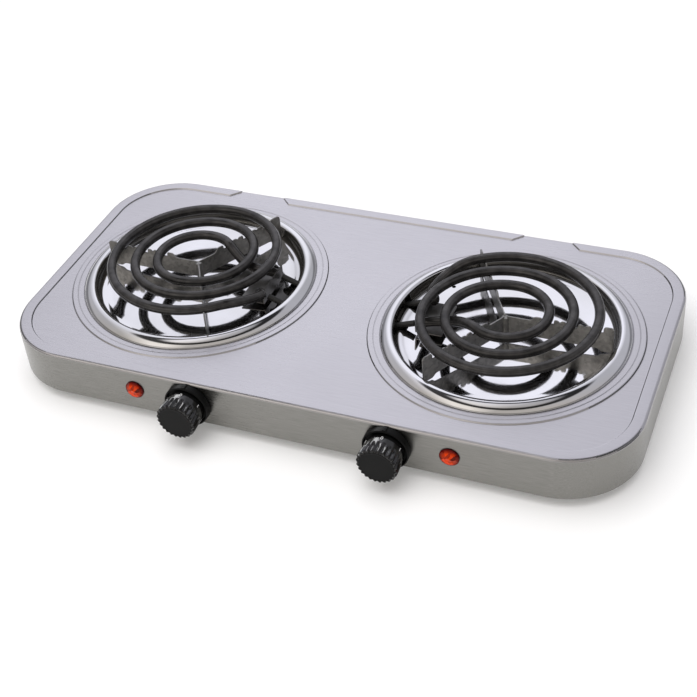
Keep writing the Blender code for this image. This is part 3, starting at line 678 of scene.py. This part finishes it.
def field_and_rings():
    switch("EDIT")
    pick("FACE", lambda c, n: n.z > 0.99 and abs(c.x) < 5.0 and abs(c.y) < 30.0)
    bpy.ops.mesh.inset(thickness=0.3 * MM, depth=0.0)
    pick("FACE", lambda c, n: n.z > 0.99 and abs(c.x) < 5.0 and abs(c.y) < 30.0)
    bpy.ops.mesh.delete(type="ONLY_FACE")
    for side in (-1, 1):
        place = (side * BURNER_X * MM, 0.0, FIELD_Z * MM)
        bpy.ops.mesh.primitive_circle_add(vertices=144, radius=RING_START_R * MM, location=place)
    back = DEPTH / 2 - BAND - 1.25

    def open_edge(a, b):
        middle = (a + b) / 2
        return abs(a.z - FIELD_Z) < 0.01 and abs(b.z - FIELD_Z) < 0.01 and abs(middle.y) < back

    bpy.ops.mesh.select_mode(type="EDGE")
    bpy.ops.mesh.select_all(action="DESELECT")
    bm = bmesh.from_edit_mesh(HOUSING.data)
    for edge in bm.edges:
        a = edge.verts[0].co / MM
        b = edge.verts[1].co / MM
        edge.select_set(len(edge.link_faces) < 2 and open_edge(a, b))
    bmesh.update_edit_mesh(HOUSING.data)
    bpy.ops.mesh.fill(use_beauty=False)
    for side in (-1, 1):
        centre = Vector((side * BURNER_X, 0.0, 0.0))

        def on_circle(a, b):
            flat = [((p - centre) * Vector((1.0, 1.0, 0.0))).length for p in (a, b)]
            return all(abs(r - RING_START_R) < 0.03 for r in flat) and a.z > 40.0

        pick("EDGE", on_circle)
        walk(PLATEAU, RING_START_R, FIELD_Z, (side * BURNER_X * MM, 0.0, 0.0))
    mend()
    switch("OBJECT")


field_and_rings()
print("housing faces with rings:", len(HOUSING.data.polygons))

# %% Housing: thickness, holes in the walls, and place
SHAFT_HOLE_R = 5.0
LENS_HOLE_R = 6.5
GLAND_HOLE_R = 6.3


def wall_hole(radius, x, y, z):
    deselect()
    bpy.ops.mesh.primitive_cylinder_add(vertices=48, radius=radius * MM, depth=6.0 * MM)
    tool = bpy.context.object
    tool.rotation_euler = (math.radians(90.0), 0.0, 0.0)
    tool.location = (x * MM, y * MM, z * MM)
    settle()
    return tool


apply_modifier(HOUSING, "SOLIDIFY", thickness=SHEET * MM, offset=-1.0, use_even_offset=True)
for side in (-1, 1):
    cut(HOUSING, wall_hole(SHAFT_HOLE_R, side * KNOB_X, -DEPTH / 2, KNOB_Z))
    cut(HOUSING, wall_hole(LENS_HOLE_R, side * LAMP_X, -DEPTH / 2, LAMP_Z))
cut(HOUSING, wall_hole(GLAND_HOLE_R, 0.0, DEPTH / 2, KNOB_Z))
close_up(HOUSING, 30.0, (0.0, BODY_Y, 0.0))
coat(HOUSING, STEEL, STEP_SHADE)
# Sloped step faces that do not face the front take the dark copy: painted shade.
steps = 0
for face in HOUSING.data.polygons:
    middle = face.center / MM
    inside = abs(middle.y - BODY_Y) < DEPTH / 2 - EDGE_R - 0.1 and abs(middle.x) < LENGTH / 2 - EDGE_R
    sloped = 0.15 < face.normal.z < 0.93
    if inside and sloped and FIELD_Z - 0.02 < middle.z < RIM_Z:
        off_axis = min(math.hypot(middle.x - side * BURNER_X, middle.y - BODY_Y) for side in (-1, 1))
        if off_axis > RING_MIDDLE_R and face.normal.y > -0.5:
            face.material_index = 1
            steps += 1
print("faces on the pressed steps:", steps)
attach(HOUSING, "housing")
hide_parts("top_housing")
print("housing done:", len(HOUSING.data.polygons), "faces")

# %% [markdown]
# A drip pan is turned from one profile: a rolled rim that laps over the housing's hole, an upright
# wall, a ledge for the spider's feet and a shallow dish. The skin is walked ring by ring from the
# lip to the middle, then given its thickness, and the terminal slots and drain holes are cut last.
# The rim is drawn by its steepness and not by its height, because on chrome it is the steepness
# that decides what is mirrored, and so how wide each bright or dark band looks.

# %% Drip pans
PAN_SHEET = 0.6
WALL_R = 84.0
WALL_SHADE_FROM = 80.4
WALL_SHADE_TO = 84.9
SLOT_SIZE = (11.8, 7.6, 13.0)
SLOT_X = 79.4
SLOT_Y = 13.8
SLOT_Z = 42.5
DRAINS = ((16.0, -11.0), (-13.0, 15.0), (56.0, -47.0))
DRAIN_R = 1.6
DRAIN_Z = 39.5
RIM_CREST = (87.3, 50.7)
RIM_OUTSIDE = ((88.8, 9.0), (90.0, 20.0), (91.8, 31.0), (93.6, 42.0), (94.7, 56.0), (95.3, 72.0))
RIM_INSIDE = ((86.6, 10.0), (85.8, 26.0), (85.1, 45.0), (84.5, 62.0), (WALL_R, 78.0))


def slope_down(points):
    """Follow a section from the crest, each (radius, steepness in degrees) a little lower."""
    radius, height = RIM_CREST
    steep = 0.0
    rings = []
    for wide, angle in points:
        for step in (1, 2, 3, 4):
            part = step / 4
            now = radius + (wide - radius) * part
            tilt = math.radians(steep + (angle - steep) * (part - 0.125))
            height -= abs(wide - radius) / 4 * math.tan(tilt)
            rings.append((now, height))
        radius, steep = wide, angle
    return rings


def rim_rings():
    """The rolled rim from its lip over the crest to the inner wall."""
    outside = slope_down(RIM_OUTSIDE)
    return list(reversed(outside)) + [RIM_CREST] + slope_down(RIM_INSIDE)


def pan_rings():
    rings = rim_rings()
    rings += [(83.9, 45.6), (83.6, 44.6), (83.1, 43.5), (82.5, 42.6), (81.7, 41.9)]
    rings += [(80.8, 41.45), (79.8, 41.25), (78.8, 41.15), (77.4, 40.85), (75.8, 40.45)]
    for step in range(1, 19):
        part = step / 18
        radius = 75.8 * (1 - part) + 1.5 * part
        rings.append((radius, 40.45 - 2.05 * math.sin(part * math.pi / 2)))
    return rings + [(0.0, 38.4)]


def drip_pan():
    pan = turned("drip_pan_left_fine", pan_rings(), 144)
    focus(pan)
    switch("EDIT")
    bpy.ops.mesh.select_all(action="SELECT")
    bpy.ops.mesh.normals_make_consistent(inside=False)
    switch("OBJECT")
    if pan.data.polygons[-1].normal.z < 0.0:
        switch("EDIT")
        bpy.ops.mesh.select_all(action="SELECT")
        bpy.ops.mesh.flip_normals()
        switch("OBJECT")
    apply_modifier(pan, "SOLIDIFY", thickness=PAN_SHEET * MM, offset=-1.0, use_even_offset=True)
    for side in (-1, 1):
        deselect()
        bpy.ops.mesh.primitive_cube_add(size=1.0)
        tool = bpy.context.object
        tool.scale = [size * MM for size in SLOT_SIZE]
        tool.location = (SLOT_X * MM, side * SLOT_Y * MM, SLOT_Z * MM)
        settle()
        cut(pan, tool)
    for x, y in DRAINS:
        deselect()
        place = (x * MM, y * MM, DRAIN_Z * MM)
        bpy.ops.mesh.primitive_cylinder_add(vertices=24, radius=DRAIN_R * MM, depth=0.011, location=place)
        tool = bpy.context.object
        settle()
        cut(pan, tool)
    return close_up(pan, 40.0, (-BURNER_X, BODY_Y, 0.0))


PAN_LEFT = drip_pan()
PAN_RIGHT = swing_round(copy_of(PAN_LEFT, "drip_pan_right_fine"))
for word, pan in (("left", PAN_LEFT), ("right", PAN_RIGHT)):
    coat(pan, CHROME, WALL_SHADE_CHROME)
    centre = Vector((SIDES[word] * BURNER_X, BODY_Y, 0.0))
    # Faces on the upright wall take the darker copy: painted shade.
    for face in pan.data.polygons:
        reach = ((face.center / MM - centre) * Vector((1.0, 1.0, 0.0))).length
        if WALL_SHADE_FROM < reach < WALL_SHADE_TO and face.normal.z > 0.0:
            face.material_index = 1
    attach(pan, "housing")
    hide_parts("drip_pan_" + word)
print("drip pans:", len(PAN_LEFT.data.polygons), "faces each")

# %% [markdown]
# The heating coil is one tube, wound from the outside inwards in three turns, with both ends led
# down to the terminals. A winding follows a rule, so its middle line is computed: the radius stays
# put on the far half of each turn and slips in on the near half. A curve with a round bevel gives
# the tube, and its top is pressed flat, where the pots stand.

# %% Heating coils
TUBE_R = 3.9
TUBE_FLAT = 3.5
COIL_Z = 63.0
TURN_R = (69.5, 50.5, 32.5)
START_ANGLE = 341.0
DESCENT = (308.0, 352.0, 10.6)
END_ANGLE = -660.0
INNER_END_R = 29.5
COLD_END = (62.2, 13.8, 49.3)
SLOPE = 0.38


def turn_radius(angle):
    for turn in (0, 1):
        begin = 90.0 - 360.0 * turn
        if angle > begin:
            return TURN_R[turn]
        if angle > begin - 180.0:
            t = (begin - angle) / 180.0
            return TURN_R[turn] + (TURN_R[turn + 1] - TURN_R[turn]) * t * t * (3 - 2 * t)
    t = max(0.0, (-540.0 - angle) / 120.0)
    return TURN_R[2] + (INNER_END_R - TURN_R[2]) * t * t


def coil_point(angle):
    """A place on the winding; the outermost end sinks towards the terminals as it comes round."""
    turn = math.radians(angle)
    begin, end, drop = DESCENT
    t = min(1.0, max(0.0, (angle - begin) / (end - begin)))
    height = COIL_Z - drop * t * t * (3 - 2 * t)
    radius = turn_radius(angle) - 2.0 * t * t
    return Vector((radius * math.cos(turn), radius * math.sin(turn), height))


def easing(start, leave, end, arrive, steps):
    """Points on a smooth bend from one place and heading to another."""
    points = []
    for step in range(1, steps + 1):
        t = step / steps
        a = start * (2 * t ** 3 - 3 * t ** 2 + 1) + leave * (t ** 3 - 2 * t ** 2 + t)
        points.append(a + end * (3 * t ** 2 - 2 * t ** 3) + arrive * (t ** 3 - t ** 2))
    return points


def coil_path():
    count = 330
    span = START_ANGLE - END_ANGLE
    turns = [coil_point(START_ANGLE - span * k / count) for k in range(count + 1)]
    x, y, z = COLD_END
    away = Vector((1.0, 0.0, -SLOPE)).normalized()
    back = (turns[0] - turns[1]).normalized()
    outer = easing(turns[0], back * 13.0, Vector((x, -y, z)), away * 15.0, 16)
    ahead = (turns[-1] - turns[-2]).normalized()
    dip = Vector((38.5, 12.0, 54.6))
    through = Vector((22.0, -3.5, -7.5))
    inner = easing(turns[-1], ahead * 22.0, dip, through, 16)
    inner += easing(dip, through, Vector((x, y, z)), away * 20.0, 16)
    return list(reversed(outer)) + turns + inner


def heating_coil():
    deselect()
    data = bpy.data.curves.new("coil", "CURVE")
    data.dimensions = "3D"
    data.bevel_depth = TUBE_R * MM
    data.bevel_resolution = 7
    data.use_fill_caps = True
    coil = curve_mesh("coil_left_fine", data, coil_path())
    switch("EDIT")
    flat = (COIL_Z + TUBE_FLAT) * MM
    pick("VERT", lambda p: p.z > COIL_Z + TUBE_FLAT)
    bpy.ops.transform.resize(value=(1.0, 1.0, 0.0), center_override=(0.0, 0.0, flat))
    return close_up(coil, 40.0, (-BURNER_X, BODY_Y, 0.0))


COIL_LEFT = heating_coil()
COIL_RIGHT = swing_round(copy_of(COIL_LEFT, "coil_right_fine"))
for word, coil in (("left", COIL_LEFT), ("right", COIL_RIGHT)):
    coat(coil, SHEATH)
    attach(coil, word + "_coil")
    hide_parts("coil_" + word)
print("coils:", len(COIL_LEFT.data.polygons), "faces each")

# %% [markdown]
# The spider that carries the coil is three strips of galvanised sheet standing on edge and meeting
# in the middle. Each strip is punched in one stroke: its outline is drawn flat, with a tab on each
# side of every turn and a taller ear outside the coil, its corners are rounded as tumbling leaves
# them, and the drawing is given the sheet's thickness and stood up.

# %% Spiders
ARM_ANGLES = (60.0, 180.0, 300.0)
ARM_SHEET = 1.0
ARM_TOP = COIL_Z - TUBE_R - 0.3
ARM_BOTTOM = 44.0
ARM_FOOT = 41.5
ARM_REACH = 82.0
TAB_TOP = 62.6
EAR_TOP = 64.4
SEAT_HALF = TUBE_R + 0.7
ARM_START = 1.0
ARM_EDGE = 0.09
FOOT_FROM = 70.0
FOOT_R = 73.0
EAR_CUT = 1.6
VALLEY_HALF = 1.4
VALLEY_DEPTH = 1.8
INNER_TAB = 5.0
INNER_TAB_END = 8.5
HUB_R = 2.7
HUB_EDGE = 0.4
HUB_DROP = 1.0


def arm_outline(angle):
    """Side view of one arm as (radius, height), from the hub out and back."""
    inner, middle, outer = sorted(turn_radius(angle - 360.0 * turn) for turn in range(3))
    ear = outer + SEAT_HALF
    shape = [(ARM_START, ARM_BOTTOM), (FOOT_FROM, ARM_BOTTOM), (FOOT_R, ARM_FOOT), (ARM_REACH, ARM_FOOT)]
    shape += [(ARM_REACH, EAR_TOP - EAR_CUT), (ARM_REACH - EAR_CUT, EAR_TOP), (ear + EAR_CUT, EAR_TOP)]
    shape += [(ear, EAR_TOP - EAR_CUT), (ear, ARM_TOP)]
    for far, near in ((outer, middle), (middle, inner)):
        valley = (far + near) / 2
        shape += [(far - SEAT_HALF, ARM_TOP), (far - SEAT_HALF, TAB_TOP), (valley + VALLEY_HALF, TAB_TOP)]
        shape += [(valley, TAB_TOP - VALLEY_DEPTH), (valley - VALLEY_HALF, TAB_TOP)]
        shape += [(near + SEAT_HALF, TAB_TOP), (near + SEAT_HALF, ARM_TOP)]
    edge = inner - SEAT_HALF
    shape += [(edge, ARM_TOP), (edge, TAB_TOP), (edge - INNER_TAB, TAB_TOP)]
    return shape + [(edge - INNER_TAB_END, ARM_TOP), (ARM_START, ARM_TOP)]


def rounded(outline, radius=1.5, steps=5):
    """The outline with every corner drawn as a small bend."""
    bends = []
    for k, corner in enumerate(outline):
        before = Vector(outline[k - 1]) - Vector(corner)
        after = Vector(outline[(k + 1) % len(outline)]) - Vector(corner)
        reach = min(radius, before.length * 0.45, after.length * 0.45)
        start = Vector(corner) + before.normalized() * reach
        end = Vector(corner) + after.normalized() * reach
        for step in range(steps + 1):
            t = step / steps
            bends.append(start * (1 - t) ** 2 + Vector(corner) * (2 * t * (1 - t)) + end * t ** 2)
    return bends


def spider_arm(angle):
    data = bpy.data.curves.new("arm", "CURVE")
    data.dimensions = "2D"
    data.fill_mode = "BOTH"
    data.bevel_depth = ARM_EDGE * MM
    data.bevel_resolution = 2
    data.extrude = (ARM_SHEET / 2 - ARM_EDGE) * MM
    data.offset = -ARM_EDGE * MM
    arm = curve_mesh("arm", data, rounded(arm_outline(angle)), True)
    arm.rotation_euler = (math.radians(90.0), 0.0, math.radians(angle))
    settle()
    return arm


def spider():
    deselect()
    depth = (ARM_TOP - ARM_BOTTOM) * MM
    middle = (0.0, 0.0, ((ARM_TOP + ARM_BOTTOM) / 2 - HUB_DROP) * MM)
    bpy.ops.mesh.primitive_cylinder_add(vertices=36, radius=HUB_R * MM, depth=depth, location=middle)
    hub = bpy.context.object
    hub.name = "spider_left_fine"
    settle()
    apply_modifier(hub, "BEVEL", width=HUB_EDGE * MM, segments=2, limit_method="ANGLE")
    arms = [spider_arm(angle) for angle in ARM_ANGLES]
    focus(hub)
    for arm in arms:
        arm.select_set(True)
    bpy.ops.object.join()
    return close_up(hub, 35.0, (-BURNER_X, BODY_Y, 0.0))


SPIDER_LEFT = spider()
SPIDER_RIGHT = swing_round(copy_of(SPIDER_LEFT, "spider_right_fine"))
for word, piece in (("left", SPIDER_LEFT), ("right", SPIDER_RIGHT)):
    coat(piece, HEATED)
    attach(piece, word + "_coil")
    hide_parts("spider_" + word)
print("spiders:", len(SPIDER_LEFT.data.polygons), "faces each")

# %% [markdown]
# A knob is a turned cap with finger flutes. The circle is walked up the profile first, and the
# flutes are then pressed in: the points in each groove of the front part are picked by their angle
# and scaled towards the axis.

# %% Knobs
KNOB_SIDES = 240
FLUTES = 24
GROOVE = (0.905, 0.915, 0.94, 0.965, 0.985)
GROOVE_FROM_Z = 14.5
FACE_R = 12.7
CAP_Z = 23.6
CAP_R = 14.2
KNOB_RINGS = (
    (13.3, 3.2),
    (13.9, 3.4),
    (14.8, 6.4),
    (14.95, 9.0),
    (15.1, 12.0),
    (15.2, 12.6),
    (15.3, 14.0),
    (15.45, 16.0),
    (15.6, 18.0),
    (15.6, 21.6),
    (15.5, 22.6),
    (15.2, 23.3),
    (14.7, 23.75),
    (14.1, 23.95),
    (12.6, 24.0),
    (12.3, 23.85),
    (12.0, 23.8),
    (8.0, 23.8),
    (0.0, 23.8),
)


def knob():
    piece = turned("knob_left_fine", KNOB_RINGS, KNOB_SIDES, "FILLED")
    focus(piece)
    switch("EDIT")
    per = KNOB_SIDES // FLUTES
    for back, depth in enumerate(GROOVE):

        def in_groove(p):
            step = round(math.degrees(math.atan2(p.y, p.x)) / 360.0 * KNOB_SIDES) % per
            on_side = p.z > GROOVE_FROM_Z and math.hypot(p.x, p.y) > FACE_R
            return on_side and min(step, per - step) == back

        pick("VERT", in_groove)
        bpy.ops.transform.resize(value=(depth, depth, 1.0), center_override=(0.0, 0.0, 0.0))
    switch("OBJECT")
    coat(piece, KNOB_SIDE, KNOB_FACE)
    for face in piece.data.polygons:
        middle = face.center / MM
        if middle.z > CAP_Z and math.hypot(middle.x, middle.y) < CAP_R:
            face.material_index = 1
    return close_up(piece, 50.0, (-KNOB_X, FRONT_Y, KNOB_Z), True)


KNOB_LEFT = knob()
KNOB_RIGHT = copy_across(KNOB_LEFT, "knob_right_fine", KNOB_X)
for word, piece in (("left", KNOB_LEFT), ("right", KNOB_RIGHT)):
    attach(piece, word + "_knob")
    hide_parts("knob_" + word)
print("knobs:", len(KNOB_LEFT.data.polygons), "faces each")

# %% [markdown]
# The settings are printed round the smooth part of the knob. Plain digits are set as text, turned
# into a mesh, and wrapped round the knob: across the text becomes an angle, up the text becomes a
# step towards the wall, and the thickness becomes a hair's breadth over the plastic.

# %% Settings printed on the knobs
DIGIT_SIZE = 4.2
DIGIT_ROW = 9.6
SKIRT_TURN_R = 15.0
DIGIT_INNER_R = 14.86
DIGIT_OUTER_R = 15.12


def wrapped_digit(label, degrees):
    deselect()
    bpy.ops.object.text_add()
    digit = bpy.context.object
    digit.data.body = label
    digit.data.size = DIGIT_SIZE * MM
    digit.data.align_x = "CENTER"
    digit.data.align_y = "CENTER"
    digit.data.extrude = 0.1 * MM
    bpy.ops.object.convert(target="MESH")
    digit = bpy.context.object
    for vertex in digit.data.vertices:
        x, y, z = vertex.co / MM
        turn = math.radians(90.0 - degrees) - x / SKIRT_TURN_R
        radius = DIGIT_INNER_R if z < 0.0 else DIGIT_OUTER_R
        vertex.co = Vector((radius * math.cos(turn), radius * math.sin(turn), DIGIT_ROW - y)) * MM
    return digit


def knob_settings():
    digits = [wrapped_digit(str(step), 60.0 * step) for step in range(6)]
    deselect()
    for digit in digits:
        digit.select_set(True)
    bpy.context.view_layer.objects.active = digits[0]
    bpy.ops.object.join()
    piece = bpy.context.object
    piece.name = "knob_settings_left"
    coat(piece, PRINT)
    return close_up(piece, 40.0, (-KNOB_X, FRONT_Y, KNOB_Z), True)


SETTINGS_LEFT = knob_settings()
SETTINGS_RIGHT = copy_across(SETTINGS_LEFT, "knob_settings_right", KNOB_X)
for word, piece in (("left", SETTINGS_LEFT), ("right", SETTINGS_RIGHT)):
    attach(piece, word + "_knob")
print("digits:", len(SETTINGS_LEFT.data.polygons), "faces on each knob")

# %% [markdown]
# Behind the knob sits a fixed ring, a shallow cup with a small pointer at the top. The pointer is
# pulled out of the ring itself: the few faces at the top are picked and extruded outwards.

# %% Knob rings
RING_R = 17.8
RING_RINGS = (
    (4.6, 0.3),
    (17.5, 0.3),
    (RING_R, 0.6),
    (RING_R, 5.2),
    (17.6, 5.8),
    (17.2, 6.15),
    (16.95, 6.2),
    (16.65, 6.0),
    (16.5, 5.4),
    (16.3, 3.0),
    (16.0, 2.6),
    (4.6, 2.6),
    (4.6, 0.3),
)


def knob_ring():
    ring = turned("knob_ring_left_fine", RING_RINGS, 120)
    focus(ring)
    switch("EDIT")

    def at_top(c, n):
        return abs(c.x) < 1.5 and c.y > RING_R - 0.5 and 0.5 < c.z < 5.9

    pick("FACE", at_top)
    bpy.ops.mesh.extrude_region_move()
    move(y=0.8)
    bpy.ops.transform.resize(value=(0.8, 1.0, 0.9), center_override=(0.0, 0.0, 3.0 * MM))
    switch("OBJECT")
    coat(ring, KNOB_FACE)
    return close_up(ring, 40.0, (-KNOB_X, FRONT_Y, KNOB_Z), True)


RING_LEFT = knob_ring()
RING_RIGHT = copy_across(RING_LEFT, "knob_ring_right_fine", KNOB_X)
for word, piece in (("left", RING_LEFT), ("right", RING_RIGHT)):
    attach(piece, "housing")
    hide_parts("knob_ring_" + word)
print("rings:", len(RING_LEFT.data.polygons), "faces each")

# %% [markdown]
# The indicator lens is a small dome on a hollow barrel. It is turned like the knob, from the inside
# of the barrel out over the dome.

# %% Lamp lenses
LENS_RINGS = (
    (4.8, 0.4),
    (4.8, -13.0),
    (6.1, -13.0),
    (6.1, 0.3),
    (7.3, 0.3),
    (7.5, 0.5),
    (7.5, 0.9),
    (7.2, 1.3),
    (6.5, 1.6),
    (6.2, 1.9),
    (5.2, 2.6),
    (4.0, 3.1),
    (2.6, 3.45),
    (1.2, 3.6),
    (0.0, 3.6),
)


def lamp_lens():
    lens = turned("lamp_lens_left_fine", LENS_RINGS, 64, "FILLED")
    return close_up(lens, 35.0, (-LAMP_X, FRONT_Y, LAMP_Z), True)


LENS_LEFT = lamp_lens()
LENS_RIGHT = copy_across(LENS_LEFT, "lamp_lens_right_fine", LAMP_X)
for word, piece in (("left", LENS_LEFT), ("right", LENS_RIGHT)):
    coat(piece, LENS[word])
    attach(piece, "housing")
    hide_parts("lamp_lens_" + word)
print("lenses:", len(LENS_LEFT.data.polygons), "faces each")

# %% [markdown]
# The parts that keep the working model's shape only need their finish: brackets, screws, ceramic
# blocks, wires and the plate underneath. The sheet that ties the terminals is scorched, and each
# pin wears a black sleeve.

# %% Finishes for the parts that stay as they are
PLAIN = {
    "galvanised": GALVANISED,
    "zinc": ZINC,
    "rubber": RUBBER,
    "insulation": SLEEVE,
    "ceramic": CERAMIC,
    "sheath": SHEATH,
    "knob_plastic": KNOB_SIDE,
    "chrome": CHROME,
    "brushed_steel": STEEL,
}
SLOT_OF = {item["node"]: item["material_slot"] for item in frame["record"]["subparts"]}
for name, item in nodes.items():
    finish = PLAIN.get(SLOT_OF[name])
    if name.startswith("terminal_plate"):
        finish = SCORCHED
    if name.startswith("terminal_pin"):
        finish = SLEEVE
    if finish:
        coat(item, finish)
print("finishes set on", len(nodes), "parts")

# %% [markdown]
# The stage is a pale floor in a room of white panels. They are dimmer towards both sides, and a dark
# gap runs round between walls and ceiling, so steel and chrome have something to mirror. A wide
# light overhead fills in without a highlight of its own, and a softbox behind lights only the
# knobs, their rings and the lenses. The camera looks down from the right.

# %% Stage and light
GLOW = 0.16
PANELS = (
    (0.0, 0.70),
    (0.10, 0.55),
    (0.22, 0.40),
    (0.36, 1.0),
    (0.80, 1.0),
    (0.85, 0.05),
    (0.915, 0.05),
    (0.96, 0.9),
    (1.0, 1.0),
)
BRIGHTEST_X = -0.31
FRONT_TINT = (0.96, 0.90, 0.80)
REAR_TINT = (0.96, 0.96, 1.0)
ROOM_STRENGTH = 1.06


def floor():
    deselect()
    bpy.ops.mesh.primitive_plane_add(size=40.0)
    piece = bpy.context.object
    piece.name = "floor"
    made, tree, shader = material("pale_floor", 0.7)
    shader.inputs["Base Color"].default_value = (0.82, 0.82, 0.82, 1.0)
    shader.inputs["Emission Color"].default_value = (1.0, 1.0, 1.0, 1.0)
    shader.inputs["Emission Strength"].default_value = GLOW
    coat(piece, made)


def area_light(name, size, place, aim, power):
    data = bpy.data.lights.new(name, "AREA")
    data.shape = "RECTANGLE"
    data.size = size[0]
    data.size_y = size[1]
    data.energy = power
    item = bpy.data.objects.new(name, data)
    bpy.context.collection.objects.link(item)
    item.location = place
    direction = Vector(aim) - Vector(place)
    item.rotation_euler = direction.to_track_quat("-Z", "Y").to_euler()
    return item


def world():
    """White panels: a level for each height, warmer in front and dimmer to both sides."""
    scene_world = bpy.data.worlds.new("studio")
    bpy.context.scene.world = scene_world
    scene_world.use_nodes = True
    tree = scene_world.node_tree
    background = tree.nodes["Background"]
    direction = add(tree, "ShaderNodeTexCoord").outputs["Generated"]
    parts = add(tree, "ShaderNodeSeparateXYZ", {"Vector": direction})
    ramp = tree.nodes.new("ShaderNodeValToRGB")
    ramp.color_ramp.interpolation = "EASE"
    while len(ramp.color_ramp.elements) < len(PANELS):
        ramp.color_ramp.elements.new(0.5)
    for element, (place, level) in zip(ramp.color_ramp.elements, PANELS):
        element.position = place
        element.color = (level, level, level * 1.05, 1.0)
    tree.links.new(parts.outputs["Z"], ramp.inputs["Fac"])
    backward = remap(tree, parts.outputs["Y"], 0.0, 1.0, -0.5, 0.5)
    walls = blend_colours(tree, backward, FRONT_TINT, REAR_TINT)
    across = add(tree, "ShaderNodeMath", {0: parts.outputs["X"], 1: -BRIGHTEST_X}, operation="ADD")
    aside = add(tree, "ShaderNodeMath", {0: across.outputs[0]}, operation="ABSOLUTE")
    fading = remap(tree, aside.outputs[0], 0.0, 1.0, 0.10, 0.42)
    sides = blend_colours(tree, fading, (1.02, 1.02, 1.02), (0.50, 0.50, 0.50))
    light = walls
    for layer in (ramp.outputs["Color"], sides):
        product = add(tree, "ShaderNodeVectorMath", {0: light, 1: layer}, operation="MULTIPLY")
        light = product.outputs[0]
    tree.links.new(light, background.inputs["Color"])
    background.inputs["Strength"].default_value = ROOM_STRENGTH


floor()
world()
overhead = area_light("overhead", (3.0, 3.0), (-0.3, -0.3, 2.4), (0.0, 0.0, 0.0), 62.0)
overhead.visible_glossy = False
rear_strip = area_light("rear_strip", (1.1, 0.75), (-1.0, 1.12, 0.60), (0.0, 0.0, 0.0), 13.0)
glossy_pieces = bpy.data.collections.new("glossy_pieces")
for piece in (KNOB_LEFT, KNOB_RIGHT, RING_LEFT, RING_RIGHT, LENS_LEFT, LENS_RIGHT):
    glossy_pieces.objects.link(piece)
rear_strip.light_linking.receiver_collection = glossy_pieces
bpy.context.scene.view_settings.view_transform = "Standard"
print("stage ready")

# %% Camera
AZIMUTH = 24.957
ELEVATION = 39.223
ROLL = -5.514
DISTANCE = 1.0772
FOCAL = 70.07
AIM = Vector((0.0032, -0.0126 + BODY_Y * MM, SKIRT_Z * MM))


def camera():
    data = bpy.data.cameras.new("camera")
    data.lens = FOCAL
    data.sensor_width = 36.0
    data.clip_start = 0.01
    item = bpy.data.objects.new("camera", data)
    bpy.context.collection.objects.link(item)
    turn = Matrix.Rotation(math.radians(AZIMUTH), 4, "Z")
    tilt = Matrix.Rotation(math.radians(90.0 - ELEVATION), 4, "X")
    roll = Matrix.Rotation(math.radians(ROLL), 4, "Z")
    back = Matrix.Translation((0.0, 0.0, DISTANCE))
    item.matrix_world = Matrix.Translation(AIM) @ turn @ tilt @ back @ roll
    bpy.context.scene.camera = item
    return item


print("camera at", [round(value, 4) for value in camera().matrix_world.translation])
